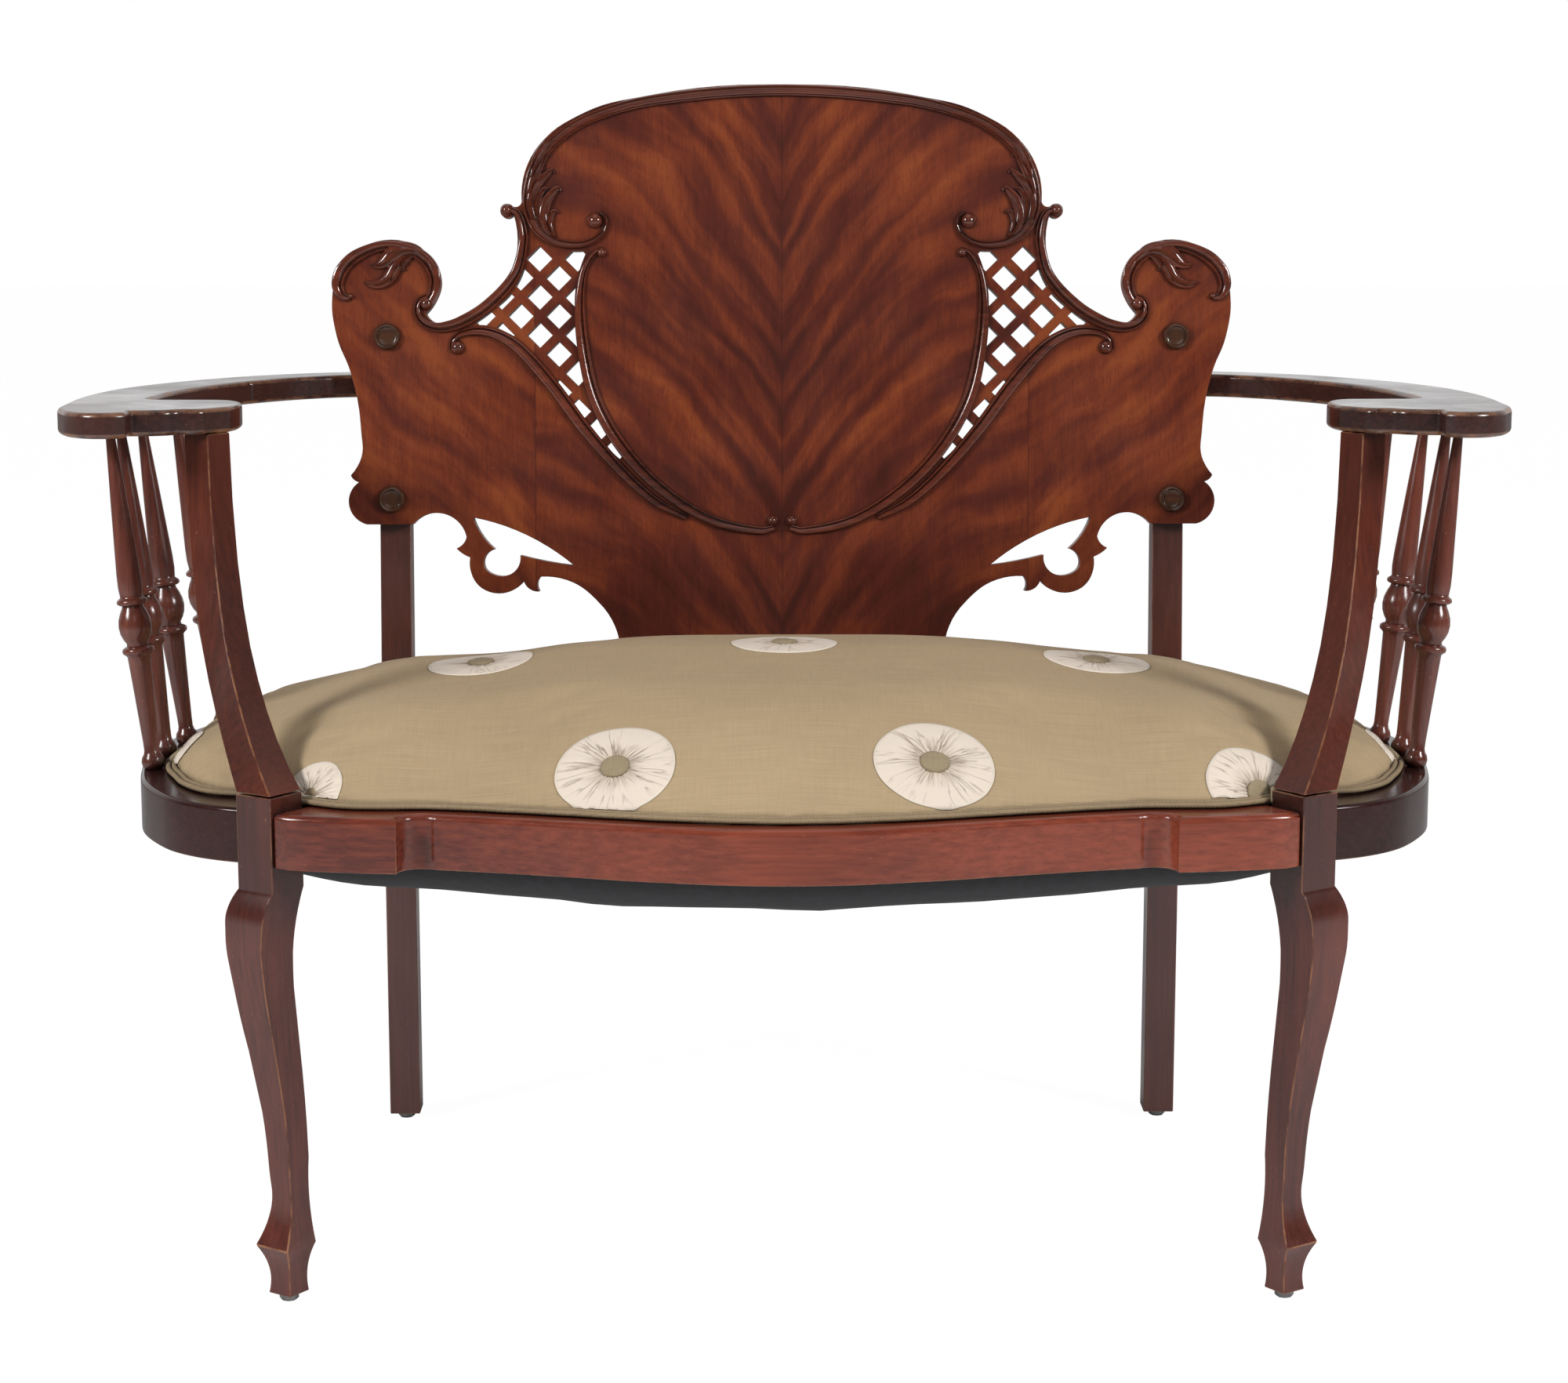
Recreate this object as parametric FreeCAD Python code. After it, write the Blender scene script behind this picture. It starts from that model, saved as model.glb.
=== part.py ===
import FreeCAD
import Part
import math
import os

V = FreeCAD.Vector

# Mahogany settee with a pierced splat back, curved open arms on turned spindles
# and an upholstered seat. Millimetres, +Z up, +X to the right as seen from the front.
# Y runs from front to back and is measured from the line through the front legs
# while the pieces are made; the last step moves the origin under the middle.

# Overall places
FRONT_EDGE_Y = -85.0
SEAT_RAIL_TOP = 387.0
SEAT_RAIL_BOTTOM = 345.0
BACK_RAKE = 6.0

# Front legs: a square block set at an angle, a cabriole leg and a spade foot
LEG_X = 389.5
LEG_TURN = 35.0
LEG_BLOCK = 35.0
LEG_BLOCK_TOP = 398.5
LEG_BLOCK_BOTTOM = 326.0
SUPPORT_GAP = 1.2
SUPPORT_TOP = (449.0, 130.0)
FOOT_BOTTOM = 6.0

# Rear posts, their fronts against the back board
POST_X = 341.0
POST_WIDTH = 27.0
POST_DEPTH = 28.0
POST_TOP_DEPTH = 20.0
POST_LENGTH_ABOVE_SEAT = 350.0
REAR_RAIL_FRONT_Y = 436.0
REAR_RAIL_BACK_Y = 482.0

# Arms: flat boards that drop a little towards the back
ARM_THICKNESS = 20.0
ARM_FRONT_BOTTOM = 657.0
ARM_DROP = 0.8
ARM_REFERENCE_Y = 100.0
ARM_END_Y = 548.0
ARM_FRONT_JOINT_Y = 214.0
ARM_REAR_JOINT_Y = 418.0

# Back board, drawn flat: u runs across from the middle, v runs up from the rail
BOARD_THICKNESS = 18.0
BOARD_FRONT_Y = 445.0
BOARD_HEIGHT = 539.0
BOARD_FOOT_HALF_WIDTH = 143.0
BOARD_TENON_LENGTH = 24.0
BOARD_TENON_THICKNESS = 10.0
LATTICE_PITCH = 16.6
LATTICE_HOLE = 11.0
LATTICE_CENTRE = (-211.5, 388.5)
SMALLEST_HOLE_AREA = 35.0
MOULDING_HEIGHT = 4.5
BUTTON_PLACES = [(345.0, 321.0), (342.0, 179.0)]

# The posts stand against the rear face of the tilted board
POST_FRONT_Y = BOARD_FRONT_Y + BOARD_THICKNESS / math.cos(math.radians(BACK_RAKE))

# Turned spindles: a radius at each height above the side rail, the long taper
# above the upper collar taking up what is left to the arm
SPINDLE_FEET = [(502.0, 152.0), (501.0, 205.0), (492.0, 257.0), (472.0, 326.0)]
SPINDLE_TOPS = [(529.0, 156.0), (531.0, 211.0), (524.0, 266.0), (505.0, 319.0)]
SPINDLE_TURNING = [(-14, 5), (0, 5), (0.1, 7.8), (6, 9.2), (13, 6), (92, 9.4), (95.5, 12.6),
                   (99, 9.4), (115, 13), (131, 8.4), (134.5, 12), (138, 9.2), (150, 9.6)]
SPINDLE_TOP_RADIUS = 3.3
SPINDLE_TOP_TENON = 10.0
ROUND_SIDES = 12

# Seat
SEAT_BASE = 388.0
SEAT_CROWN = 83.0
SEAT_HALF_LENGTH = 492.0
WELT_WIDTH = 5.0
ROSETTE_RADIUS = 47.0
ROSETTE_THICKNESS = 1.5
ROSETTE_BUTTON_RADIUS = 12.0
ROSETTE_BUTTON_THICKNESS = 2.0
ROSETTES = [(0, 245, 2), (-250, 238, 2), (250, 238, 2), (-120, -11, 38), (120, -11, 38),
            (-350, 20, 45), (350, 20, 45), (-470, 165, 2), (470, 165, 2)]
WEBBING_WIDTH = 50.0
WEBBING_THICKNESS = 1.5
DUST_COVER_SAG = 47.0
DUST_COVER_THICKNESS = 1.2


# Two arcs meet smoothly enough when the cosine between them is above this
NEARLY_TANGENT = 0.998


def straight(a, b):
    """A straight edge between two plan points."""
    return Part.makeLine(V(a[0], a[1], 0), V(b[0], b[1], 0))


def arc(a, b, c):
    """A circular edge through three plan points."""
    return Part.Arc(V(a[0], a[1], 0), V(b[0], b[1], 0), V(c[0], c[1], 0)).toShape()


def arc_from(start, heading, end):
    """The circular edge that leaves the start along the heading and meets the end."""
    chord = end - start
    along = V(chord).normalize()
    side = V(-along.y, along.x, 0)
    lean = math.atan2(heading.dot(side), heading.dot(along))
    if abs(lean) < 0.004:
        return Part.makeLine(start, end)
    middle = (start + end) * 0.5 + side * (chord.Length / 2 * math.tan(lean / 2))
    return Part.Arc(start, middle, end).toShape()


def mirrored_heading(step, heading):
    """The heading at the other end of an arc over the given step."""
    along = V(step).normalize()
    return along * (2 * along.dot(heading)) - heading


def headings(spots):
    """The direction of a smooth curve at each of its points."""
    steps = [b - a for a, b in zip(spots, spots[1:])]
    if len(steps) == 1:
        return [V(steps[0]).normalize()] * 2
    inner = []
    for before, after in zip(steps, steps[1:]):
        share = after.Length / before.Length
        inner.append((before * share + after * (1 / share)).normalize())
    return ([mirrored_heading(steps[0], inner[0])] + inner
            + [mirrored_heading(steps[-1], inner[-1])])


def smooth(points, level_ends=()):
    """A run of arcs, each tangent to the next, through the given plan points.

    The ends named in level_ends (0 and -1) leave along the x axis."""
    if len(points) == 3 and not level_ends:
        return [arc(*points)]
    spots = [V(x, y, 0) for x, y in points]
    heads = headings(spots)
    for end in level_ends:
        heads[end] = V(math.copysign(1, heads[end].x), 0, 0)
    edges = []
    for a, b, leaving, arriving in zip(spots, spots[1:], heads, heads[1:]):
        step = b - a
        if mirrored_heading(step, leaving).dot(arriving) > NEARLY_TANGENT:
            edges.append(arc_from(a, leaving, b))
            continue
        both_heads = leaving + arriving
        spread = 2 * (1 - leaving.dot(arriving))
        if spread < 1e-6:
            reach = step.dot(step) / (4 * step.dot(arriving))
        else:
            along = step.dot(both_heads)
            reach = (math.sqrt(along ** 2 + spread * step.dot(step)) - along) / spread
        joint = (a + b + (leaving - arriving) * reach) * 0.5
        edges.append(arc_from(a, leaving, joint))
        edges.append(arc_from(b, -arriving, joint))
    return edges


def face_of(*runs):
    """A flat face inside a closed outline given as edges and lists of edges."""
    edges = []
    for run in runs:
        edges.extend(run if isinstance(run, list) else [run])
    return Part.Face(Part.Wire(Part.__sortEdges__(edges)))


def mirrored(shape):
    """The same piece on the other side of the settee."""
    return shape.mirror(V(0, 0, 0), V(1, 0, 0))


def both(solids):
    return solids + [mirrored(solid) for solid in solids]


def box(x0, x1, y0, y1, z0, z1):
    return Part.makeBox(x1 - x0, y1 - y0, z1 - z0, V(x0, y0, z0))


def placed(shape, placement):
    copy = shape.copy()
    copy.Placement = placement
    return copy


def group(solids):
    """Several separate solids kept in one node."""
    return Part.makeCompound(solids)


def largest(shape):
    return max(shape.Solids, key=lambda solid: solid.Volume)


def flat(corners):
    return Part.Face(Part.makePolygon(corners + corners[:1]))


def stacked(rings, creased=False):
    """A solid through parallel rings of corners, with flat faces between them.

    Creased faces are halved across a diagonal, for rings whose sides aren't in line."""
    faces = [flat(rings[0]), flat(rings[-1])]
    for lower, upper in zip(rings, rings[1:]):
        for i, corner in enumerate(lower):
            after = (i + 1) % len(lower)
            side = [corner, lower[after], upper[after], upper[i]]
            halves = [side[:3], [side[0]] + side[2:]] if creased else [side]
            faces.extend(flat(half) for half in halves)
    return Part.Solid(Part.Shell(faces))


def turned(stations, sides=ROUND_SIDES):
    """A turned piece standing on the origin, many-sided, from (height, radius) pairs."""
    angles = [2 * math.pi * i / sides for i in range(sides)]
    return stacked([[V(radius * math.cos(angle), radius * math.sin(angle), height)
                     for angle in angles] for height, radius in stations])


# Front legs and arm supports

LEG_PLACE = FreeCAD.Placement(V(-LEG_X, 0, 0), FreeCAD.Rotation(V(0, 0, 1), -LEG_TURN))


def leg_profile():
    """The band-sawn outline of the leg, outer side towards -x, height up y."""
    half = LEG_BLOCK / 2
    outer_knee = [(-half, LEG_BLOCK_BOTTOM), (-24.2, 309), (-25.2, 290), (-21.4, 248),
                  (-14.6, 199), (-8.3, 150), (-5.7, 110), (-5.3, 72), (-13.7, 45)]
    outer_foot = [(-13.7, 45), (-9.4, 36), (-7.2, FOOT_BOTTOM)]
    inner_foot = [(15, FOOT_BOTTOM), (16, 34), (19.3, 45)]
    inner_leg = [(19.3, 45), (16.8, 72), (16.6, 113), (13.5, 199), (11, 248), (11, 275),
                 (half, LEG_BLOCK_BOTTOM)]
    return face_of(
        straight((-half, LEG_BLOCK_TOP), (-half, LEG_BLOCK_BOTTOM)),
        smooth(outer_knee),
        smooth(outer_foot),
        straight((-7.2, FOOT_BOTTOM), (15, FOOT_BOTTOM)),
        smooth(inner_foot),
        smooth(inner_leg),
        straight((half, LEG_BLOCK_BOTTOM), (half, LEG_BLOCK_TOP)),
        straight((half, LEG_BLOCK_TOP), (-half, LEG_BLOCK_TOP)),
    )


def front_leg():
    """The leg is the outline sawn from two faces of a square blank."""
    blank = 120.0
    upright = FreeCAD.Placement(V(0, blank / 2, 0), FreeCAD.Rotation(V(1, 0, 0), 90))
    quarter_turn = FreeCAD.Placement(V(0, 0, 0), FreeCAD.Rotation(V(0, 0, 1), 90))
    sawn = leg_profile().extrude(V(0, 0, blank))
    leg = placed(sawn, upright).common(placed(sawn, quarter_turn * upright))
    leg.Placement = LEG_PLACE
    return leg.Solids[0]


def leg_tenon(x0, x1, half_width, z0, z1):
    """A box tenon in the turned axes of the leg block."""
    return placed(box(x0, x1, -half_width, half_width, z0, z1), LEG_PLACE)


def arm_support():
    """A square post that leaves the block leaning and sweeps up under the arm."""
    bottom = LEG_BLOCK_TOP + SUPPORT_GAP
    top = ARM_FRONT_BOTTOM + 4.0
    stations = [(0.0, 0.0, 34.5), (0.06, 0.18, 31.5), (0.12, 0.33, 29.6), (0.19, 0.475, 28.3),
                (0.27, 0.61, 27.4), (0.36, 0.73, 26.7), (0.47, 0.83, 26.2), (0.6, 0.91, 25.7),
                (0.78, 0.97, 25.2), (1.0, 1.0, 25.0)]
    squares = []
    for rise, sweep, side in stations:
        centre = V(-LEG_X - (SUPPORT_TOP[0] - LEG_X) * sweep, SUPPORT_TOP[1] * sweep,
                   bottom + (top - bottom) * rise)
        squares.append([centre + LEG_PLACE.Rotation.multVec(V(x, y, 0) * (side / 2))
                        for x, y in ((-1, -1), (1, -1), (1, 1), (-1, 1))])
    post = stacked(squares)
    low_tenon = leg_tenon(-7, 7, 7, LEG_BLOCK_TOP - 18, bottom + 4)
    high_tenon = placed(box(-7, 7, -7, 7, ARM_FRONT_BOTTOM - 4, ARM_FRONT_BOTTOM + 12),
                        FreeCAD.Placement(V(-SUPPORT_TOP[0], SUPPORT_TOP[1], 0),
                                          LEG_PLACE.Rotation))
    return post, low_tenon, high_tenon


# Seat frame

def seat_outline():
    """The outer edge of the seat frame, left half, from the front middle round."""
    serpentine = [(0, FRONT_EDGE_Y), (-86, -74), (-154, -56), (-210, -41), (-262, -29)]
    toe = [(-290, -43), (-331, -38), (-372, -30)]
    side = [(-411, -3), (-455, 22), (-495, 82), (-514, 165), (-517, 225), (-500, 315),
            (-468, 382), (-430, 430), (-388, 462), (-354, REAR_RAIL_BACK_Y)]
    return [
        *smooth(serpentine, level_ends=[0]),
        arc((-262, -29), (-281, -27), (-290, -43)),
        *smooth(toe),
        straight((-372, -30), (-411, -3)),
        *smooth(side),
        straight((-354, REAR_RAIL_BACK_Y), (0, REAR_RAIL_BACK_Y)),
    ]


def seat_opening():
    """The inner edge of the seat frame, left half."""
    front = [(0, -43), (-154, -14), (-250, 8), (-330, 14), (-385, 30)]
    side = [(-385, 30), (-430, 62), (-458, 110), (-474, 180), (-472, 250), (-455, 308),
            (-398, 394), (-326, REAR_RAIL_FRONT_Y)]
    return [
        *smooth(front, level_ends=[0]),
        *smooth(side),
        straight((-326, REAR_RAIL_FRONT_Y), (0, REAR_RAIL_FRONT_Y)),
    ]


def plate(half_outline, bottom, top):
    """A flat plate with a closed outline given by its left half."""
    plan = face_of(both(half_outline))
    plan.translate(V(0, 0, bottom))
    return plan.extrude(V(0, 0, top - bottom))


def seat_frame(post):
    """Front rail, left rail and rear rail, cut from one ring, with their tenons."""
    ring = plate(seat_outline(), SEAT_RAIL_BOTTOM, SEAT_RAIL_TOP)
    ring = ring.cut(plate(seat_opening(), SEAT_RAIL_BOTTOM - 1, SEAT_RAIL_TOP + 1))
    slab = placed(Part.makeBox(LEG_BLOCK, 200, 100, V(-LEG_BLOCK / 2, -100, 320)), LEG_PLACE)
    parts = ring.cut(both([slab])).Solids
    parts.sort(key=lambda solid: solid.CenterOfMass.y)
    front, rest = parts[0], parts[-1].cut(both([post]))
    inner_x = POST_X - POST_WIDTH / 2
    side = largest(rest.common(box(-700, -inner_x, -100, 600, 300, 420)))
    rear = largest(rest.common(box(-inner_x, inner_x, 200, 600, 300, 420)))

    low, high = SEAT_RAIL_BOTTOM + 8, SEAT_RAIL_TOP - 8
    front_tenon = leg_tenon(5, 30, 6, low, high)
    side_tenon = leg_tenon(-30, -5, 6, low, high)
    side_rear_tenon = box(-inner_x - POST_WIDTH - 6, -inner_x - POST_WIDTH + 11, 466, 474,
                          low, high)
    rear_tenon = box(-inner_x - 11, -inner_x + 6, 466, 478, low, high)
    front = front.fuse(both([front_tenon]))
    side = side.fuse([side_tenon, side_rear_tenon])
    rear = rear.fuse(both([rear_tenon]))
    return front, side, rear


def rear_post():
    """Straight leg below the seat, raked back above it and tapered towards the top."""
    lean = math.radians(BACK_RAKE)
    back_y = POST_FRONT_Y + POST_DEPTH
    foot = FOOT_BOTTOM
    top_front = (POST_FRONT_Y + POST_LENGTH_ABOVE_SEAT * math.sin(lean),
                 SEAT_RAIL_TOP + POST_LENGTH_ABOVE_SEAT * math.cos(lean))
    top_back = (top_front[0] + POST_TOP_DEPTH, top_front[1])
    profile = face_of(
        straight((POST_FRONT_Y, foot), (POST_FRONT_Y, SEAT_RAIL_TOP)),
        straight((POST_FRONT_Y, SEAT_RAIL_TOP), top_front),
        straight(top_front, top_back),
        smooth([top_back, (back_y + 8, 450), (back_y + 1.5, 370), (back_y, 300)]),
        straight((back_y, 300), (back_y, foot)),
        straight((back_y, foot), (POST_FRONT_Y, foot)),
    )
    # the profile's x and y become the settee's y and z, its thickness runs along x
    return placed(profile.extrude(V(0, 0, POST_WIDTH)),
                  FreeCAD.Placement(V(-POST_X - POST_WIDTH / 2, 0, 0),
                                    FreeCAD.Rotation(V(1, 1, 1), 120)))


# Arms

ARM_PLACE = FreeCAD.Placement(V(0, ARM_REFERENCE_Y, ARM_FRONT_BOTTOM),
                              FreeCAD.Rotation(V(1, 0, 0), -ARM_DROP)) * \
    FreeCAD.Placement(V(0, -ARM_REFERENCE_Y, 0), FreeCAD.Rotation())


def arm_plan():
    """The arm seen from above, left side: a lobe, a pad and a long curved tail."""
    lobe = [(-501, 76), (-514, 68), (-530, 69), (-546, 82), (-557, 104), (-566, 180),
            (-566, 245), (-556, 320), (-512, 424), (-446, 504), (-354, ARM_END_Y)]
    inside = [(-354, 498), (-383, 494), (-415, 472), (-449, 430), (-476, 380), (-496, 320),
              (-509, 226)]
    nose = [(-452, 206), (-440, 200), (-430, 184), (-427, 160), (-431, 130)]
    front = [(-446, 111), (-453, 106), (-462, 106), (-478, 96), (-501, 92)]
    return face_of(
        smooth(lobe),
        straight((-354, ARM_END_Y), (-354, 498)),
        smooth(inside),
        arc((-509, 226), (-505, 212), (-492, 207)),
        straight((-492, 207), (-452, 206)),
        smooth(nose),
        straight((-431, 130), (-446, 111)),
        smooth(front),
        straight((-501, 92), (-501, 76)),
    )


def arm_segments():
    """One arm is three curved boards, tenoned end to end and into the rear post."""
    board = arm_plan().extrude(V(0, 0, ARM_THICKNESS))
    cuts = [(0, ARM_FRONT_JOINT_Y), (ARM_FRONT_JOINT_Y, ARM_REAR_JOINT_Y), (ARM_REAR_JOINT_Y, 600)]
    front, middle, rear = [board.common(box(-700, -300, start, end, -10, 40)).Solids[0]
                           for start, end in cuts]
    low, high = ARM_THICKNESS * 0.3, ARM_THICKNESS * 0.7
    front_tenon = box(-558, -540, ARM_FRONT_JOINT_Y - 14, ARM_FRONT_JOINT_Y + 8, low, high)
    rear_tenon = box(-497, -477, ARM_REAR_JOINT_Y - 8, ARM_REAR_JOINT_Y + 14, low, high)
    post_tenon = box(-362, -344, 500, 510, low, high)
    middle = middle.fuse([front_tenon, rear_tenon])
    front = front.cut(front_tenon)
    rear = rear.cut(rear_tenon).fuse(post_tenon)
    return [placed(segment, ARM_PLACE) for segment in (front, middle, rear)]


def spindle(foot, top):
    """A turned spindle: bulb foot, taper, vase between two collars, long taper."""
    low = V(-foot[0], foot[1], SEAT_RAIL_TOP)
    drop = (top[1] - ARM_REFERENCE_Y) * math.tan(math.radians(ARM_DROP))
    high = V(-top[0], top[1], ARM_FRONT_BOTTOM - drop)
    length = (high - low).Length
    stations = SPINDLE_TURNING + [(length, SPINDLE_TOP_RADIUS),
                                  (length + SPINDLE_TOP_TENON, SPINDLE_TOP_RADIUS)]
    return placed(turned(stations),
                  FreeCAD.Placement(low, FreeCAD.Rotation(V(0, 0, 1), high - low)))


# Back board

BOARD_PLACE = FreeCAD.Placement(V(0, BOARD_FRONT_Y, SEAT_RAIL_TOP),
                                FreeCAD.Rotation(V(1, 0, 0), 90 - BACK_RAKE))


def board_outline():
    """The fretted edge of the board, left half, from its foot up to the crest."""
    foot = BOARD_FOOT_HALF_WIDTH
    return [
        straight((0, 0), (-foot, 0)),
        straight((-foot, 0), (-foot, 52)),
        *smooth([(-foot, 52), (-147, 67), (-161, 88), (-184, 106), (-212, 111)]),
        *smooth([(-212, 111), (-215, 105), (-213, 98)]),
        *smooth([(-213, 98), (-223, 101), (-227, 107)]),
        *smooth([(-227, 107), (-245, 96.5), (-264, 101), (-273, 114), (-274, 128)]),
        *smooth([(-274, 128), (-280, 131), (-286, 136)]),
        *smooth([(-286, 136), (-280, 140), (-277, 146)]),
        *smooth([(-277, 146), (-285, 160), (-304, 167), (-324, 157)]),
        straight((-324, 157), (-364, 157)),
        *smooth([(-364, 157), (-376, 165), (-380, 178), (-371, 194)]),
        *smooth([(-371, 194), (-375, 196), (-378, 200)]),
        *smooth([(-378, 200), (-370, 212), (-369, 245), (-377, 289), (-389, 321), (-393, 350),
                 (-387, 379), (-366, 399), (-335, 405), (-309, 393), (-298, 368),
                 (-304, 350), (-311, 341)]),
        *smooth([(-311, 341), (-306, 335), (-293, 333), (-270, 341), (-246, 361), (-232, 391),
                 (-234, 427)]),
        arc((-234, 427), (-245.5, 431), (-234.5, 434)),
        *smooth([(-234.5, 434), (-230, 434), (-227, 440)]),
        *smooth([(-227, 440), (-224, 464), (-206, 493), (-170, 516), (-110, 531),
                 (0, BOARD_HEIGHT)], level_ends=[-1]),
    ]


def bracket_opening():
    """The crescent pierced through each lower bracket."""
    return face_of(
        smooth([(-183, 121), (-205, 137), (-234, 152), (-271, 163)]),
        smooth([(-271, 163), (-265, 150), (-252, 135)]),
        smooth([(-252, 135), (-262, 124), (-247, 111.5), (-233, 118), (-230, 130)]),
        smooth([(-230, 130), (-211, 125.5), (-183, 121)]),
    )


def lattice_window():
    """The three-sided opening that the lattice fills, between the mouldings."""
    return face_of(
        smooth([(-221, 414), (-200, 399), (-170, 396)]),
        smooth([(-170, 396), (-179, 370), (-180, 325), (-169, 270), (-133, 206)]),
        smooth([(-133, 206), (-172.5, 244), (-207.5, 293), (-238, 323.5), (-256, 330.5),
                (-272, 330.5)]),
        smooth([(-272, 330.5), (-254, 343), (-236, 359.5), (-223, 390), (-221, 414)]),
    )


def lattice_holes():
    """Square holes on their corners, each trimmed by the edge of the window."""
    window = lattice_window()
    bounds = window.BoundBox
    columns = range(math.floor((bounds.XMin - LATTICE_CENTRE[0]) / LATTICE_PITCH),
                    math.ceil((bounds.XMax - LATTICE_CENTRE[0]) / LATTICE_PITCH) + 1)
    rows = range(math.floor((LATTICE_CENTRE[1] - bounds.YMax) / LATTICE_PITCH),
                 math.ceil((LATTICE_CENTRE[1] - bounds.YMin) / LATTICE_PITCH) + 1)
    holes = []
    for column in columns:
        for row in rows:
            if (column + row) % 2:
                continue
            u = LATTICE_CENTRE[0] + column * LATTICE_PITCH
            v = LATTICE_CENTRE[1] - row * LATTICE_PITCH
            corners = [V(u - LATTICE_HOLE, v, 0), V(u, v - LATTICE_HOLE, 0),
                       V(u + LATTICE_HOLE, v, 0), V(u, v + LATTICE_HOLE, 0)]
            square = Part.Face(Part.makePolygon(corners + corners[:1]))
            for hole in square.common(window).Faces:
                if hole.Area > SMALLEST_HOLE_AREA:
                    holes.append(hole)
    return holes


def back_board():
    """The board with its fretted outline, crescents, lattice and foot tenon."""
    openings = both([bracket_opening()] + lattice_holes())
    front = face_of(both(board_outline())).cut(openings)
    board = front.extrude(V(0, 0, -BOARD_THICKNESS)).Solids[0]
    tenon_back = -(BOARD_THICKNESS + BOARD_TENON_THICKNESS) / 2
    tenon = box(-120, 120, -BOARD_TENON_LENGTH, 0.5, tenon_back,
                tenon_back + BOARD_TENON_THICKNESS)
    return placed(board.fuse(tenon), BOARD_PLACE)


def band(centre, widths, level_end=False):
    """A raised moulding along a line of points, with widths spread along its length."""
    spots = [V(u, v, 0) for u, v in centre]
    heads = headings(spots)
    if level_end:
        heads[-1] = V(1, 0, 0)
    left, right = [], []
    for number, (spot, head) in enumerate(zip(spots, heads)):
        along = number / (len(spots) - 1) * (len(widths) - 1)
        before = min(int(along), len(widths) - 2)
        width = widths[before] + (widths[before + 1] - widths[before]) * (along - before)
        across = V(-head.y, head.x, 0) * (width / 2)
        left.append((spot + across)[:2])
        right.append((spot - across)[:2])
    ends = [-1] if level_end else []
    outline = smooth(left, ends) + smooth(right, ends) + [straight(left[0], right[0])]
    if level_end:
        return face_of(both(outline))
    return face_of(outline, straight(left[-1], right[-1]))


def raised(face):
    return face.extrude(V(0, 0, MOULDING_HEIGHT))


def boss(u, v, radius):
    """A low round boss at the end of a moulding."""
    dome = turned([(0, radius), (MOULDING_HEIGHT + 2, radius * 0.6)], 10)
    dome.translate(V(u, v, 0))
    return dome


def on_board(pieces):
    """A carved piece is joined flat, then seated on the board's front."""
    joined = pieces[0].fuse(pieces[1:]) if len(pieces) > 1 else pieces[0]
    return placed(joined, BOARD_PLACE)


def crest_moulding():
    """The bead round the crest, ending in a C-scroll on each side."""
    half = [(-157, 421), (-157.5, 412), (-166, 404), (-180, 401), (-197, 403), (-213, 413),
            (-221, 428), (-221.5, 445), (-215, 468), (-199, 490), (-168, 510), (-110, 526),
            (0, 534.5)]
    bead = band(half, [8, 8, 9, 11, 9, 9, 8], level_end=True)
    return on_board([raised(bead), boss(-163, 422, 8.0), boss(163, 422, 8.0)])


def wing_moulding():
    """The C-scroll round the top of the wing."""
    line = [(-384, 356), (-387, 369), (-380, 382), (-366, 393), (-345, 399.5), (-325, 397),
            (-310, 387), (-303.5, 373), (-305, 360), (-311, 352)]
    return on_board([raised(band(line, [5, 9, 9, 9, 10, 9, 8, 7])), boss(-315, 346, 9.0)])


def cove_moulding():
    """The hollow curve from the small ball down to the curl inside the wing."""
    line = [(-230, 430), (-226, 403), (-234, 370), (-256, 345), (-290, 329), (-310, 331),
            (-322, 345)]
    return on_board([raised(band(line, [6, 8, 9, 9, 8, 7])), boss(-240, 430.5, 5.2)])


def oval_moulding():
    """One side of the oval frame round the middle panel."""
    line = [(-164, 393), (-173, 380), (-176.5, 345), (-173, 306), (-164, 268), (-146, 233),
            (-119, 200), (-85, 173), (-54, 158), (-12, 151)]
    return on_board([raised(band(line, [6, 9, 9, 9, 9, 8, 7])), boss(-160, 394, 5.0),
                     boss(-7.5, 160, 5.0)])


def shoulder_moulding():
    """The S-curve from the wing under the lattice to the foot of the oval."""
    line = [(-286, 318), (-277, 324), (-262, 325.5), (-246, 322), (-229, 311), (-201, 279),
            (-172, 240), (-140, 203), (-111, 177), (-84, 163)]
    return on_board([raised(band(line, [7, 9, 9, 9, 8, 5])), boss(-283, 311.5, 7.0)])


def splat_buttons():
    """Turned wooden buttons with a dished face, over the fixings into the posts."""
    button = turned([(0, 11.8), (3.5, 11.8), (6, 9.6), (4.2, 6)])
    return group([placed(button, BOARD_PLACE * FreeCAD.Placement(V(side * u, v, 0),
                                                                 FreeCAD.Rotation()))
                  for u, v in BUTTON_PLACES for side in (-1, 1)])


# Upholstered seat: front and rear edge of the cover at each distance from the middle

SEAT_STATIONS = [(0, -64, 434), (90, -52, 434), (180, -28, 434), (262, -9, 434),
                 (325, -7, 432), (362, 11, 428), (400, 38, 411), (435, 48, 374),
                 (457, 70, 322), (474, 108, 262), (486, 150, 212)]

# Rise of the seat from its front edge to its rear edge: (share of depth, share of crown)
SEAT_SECTION = [(0, 0), (0.03, 0.24), (0.08, 0.49), (0.16, 0.71), (0.32, 0.90), (0.6, 1.0),
                (0.81, 0.93), (0.94, 0.65), (0.99, 0.28), (1, 0)]


# The same for the cloth that hangs under the frame
HANGING_SECTION = [(0, 0), (0.05, 0.5), (0.13, 0.8), (0.26, 0.96), (0.45, 1.0), (0.75, 0.85),
                   (0.92, 0.45), (1, 0)]


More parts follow.
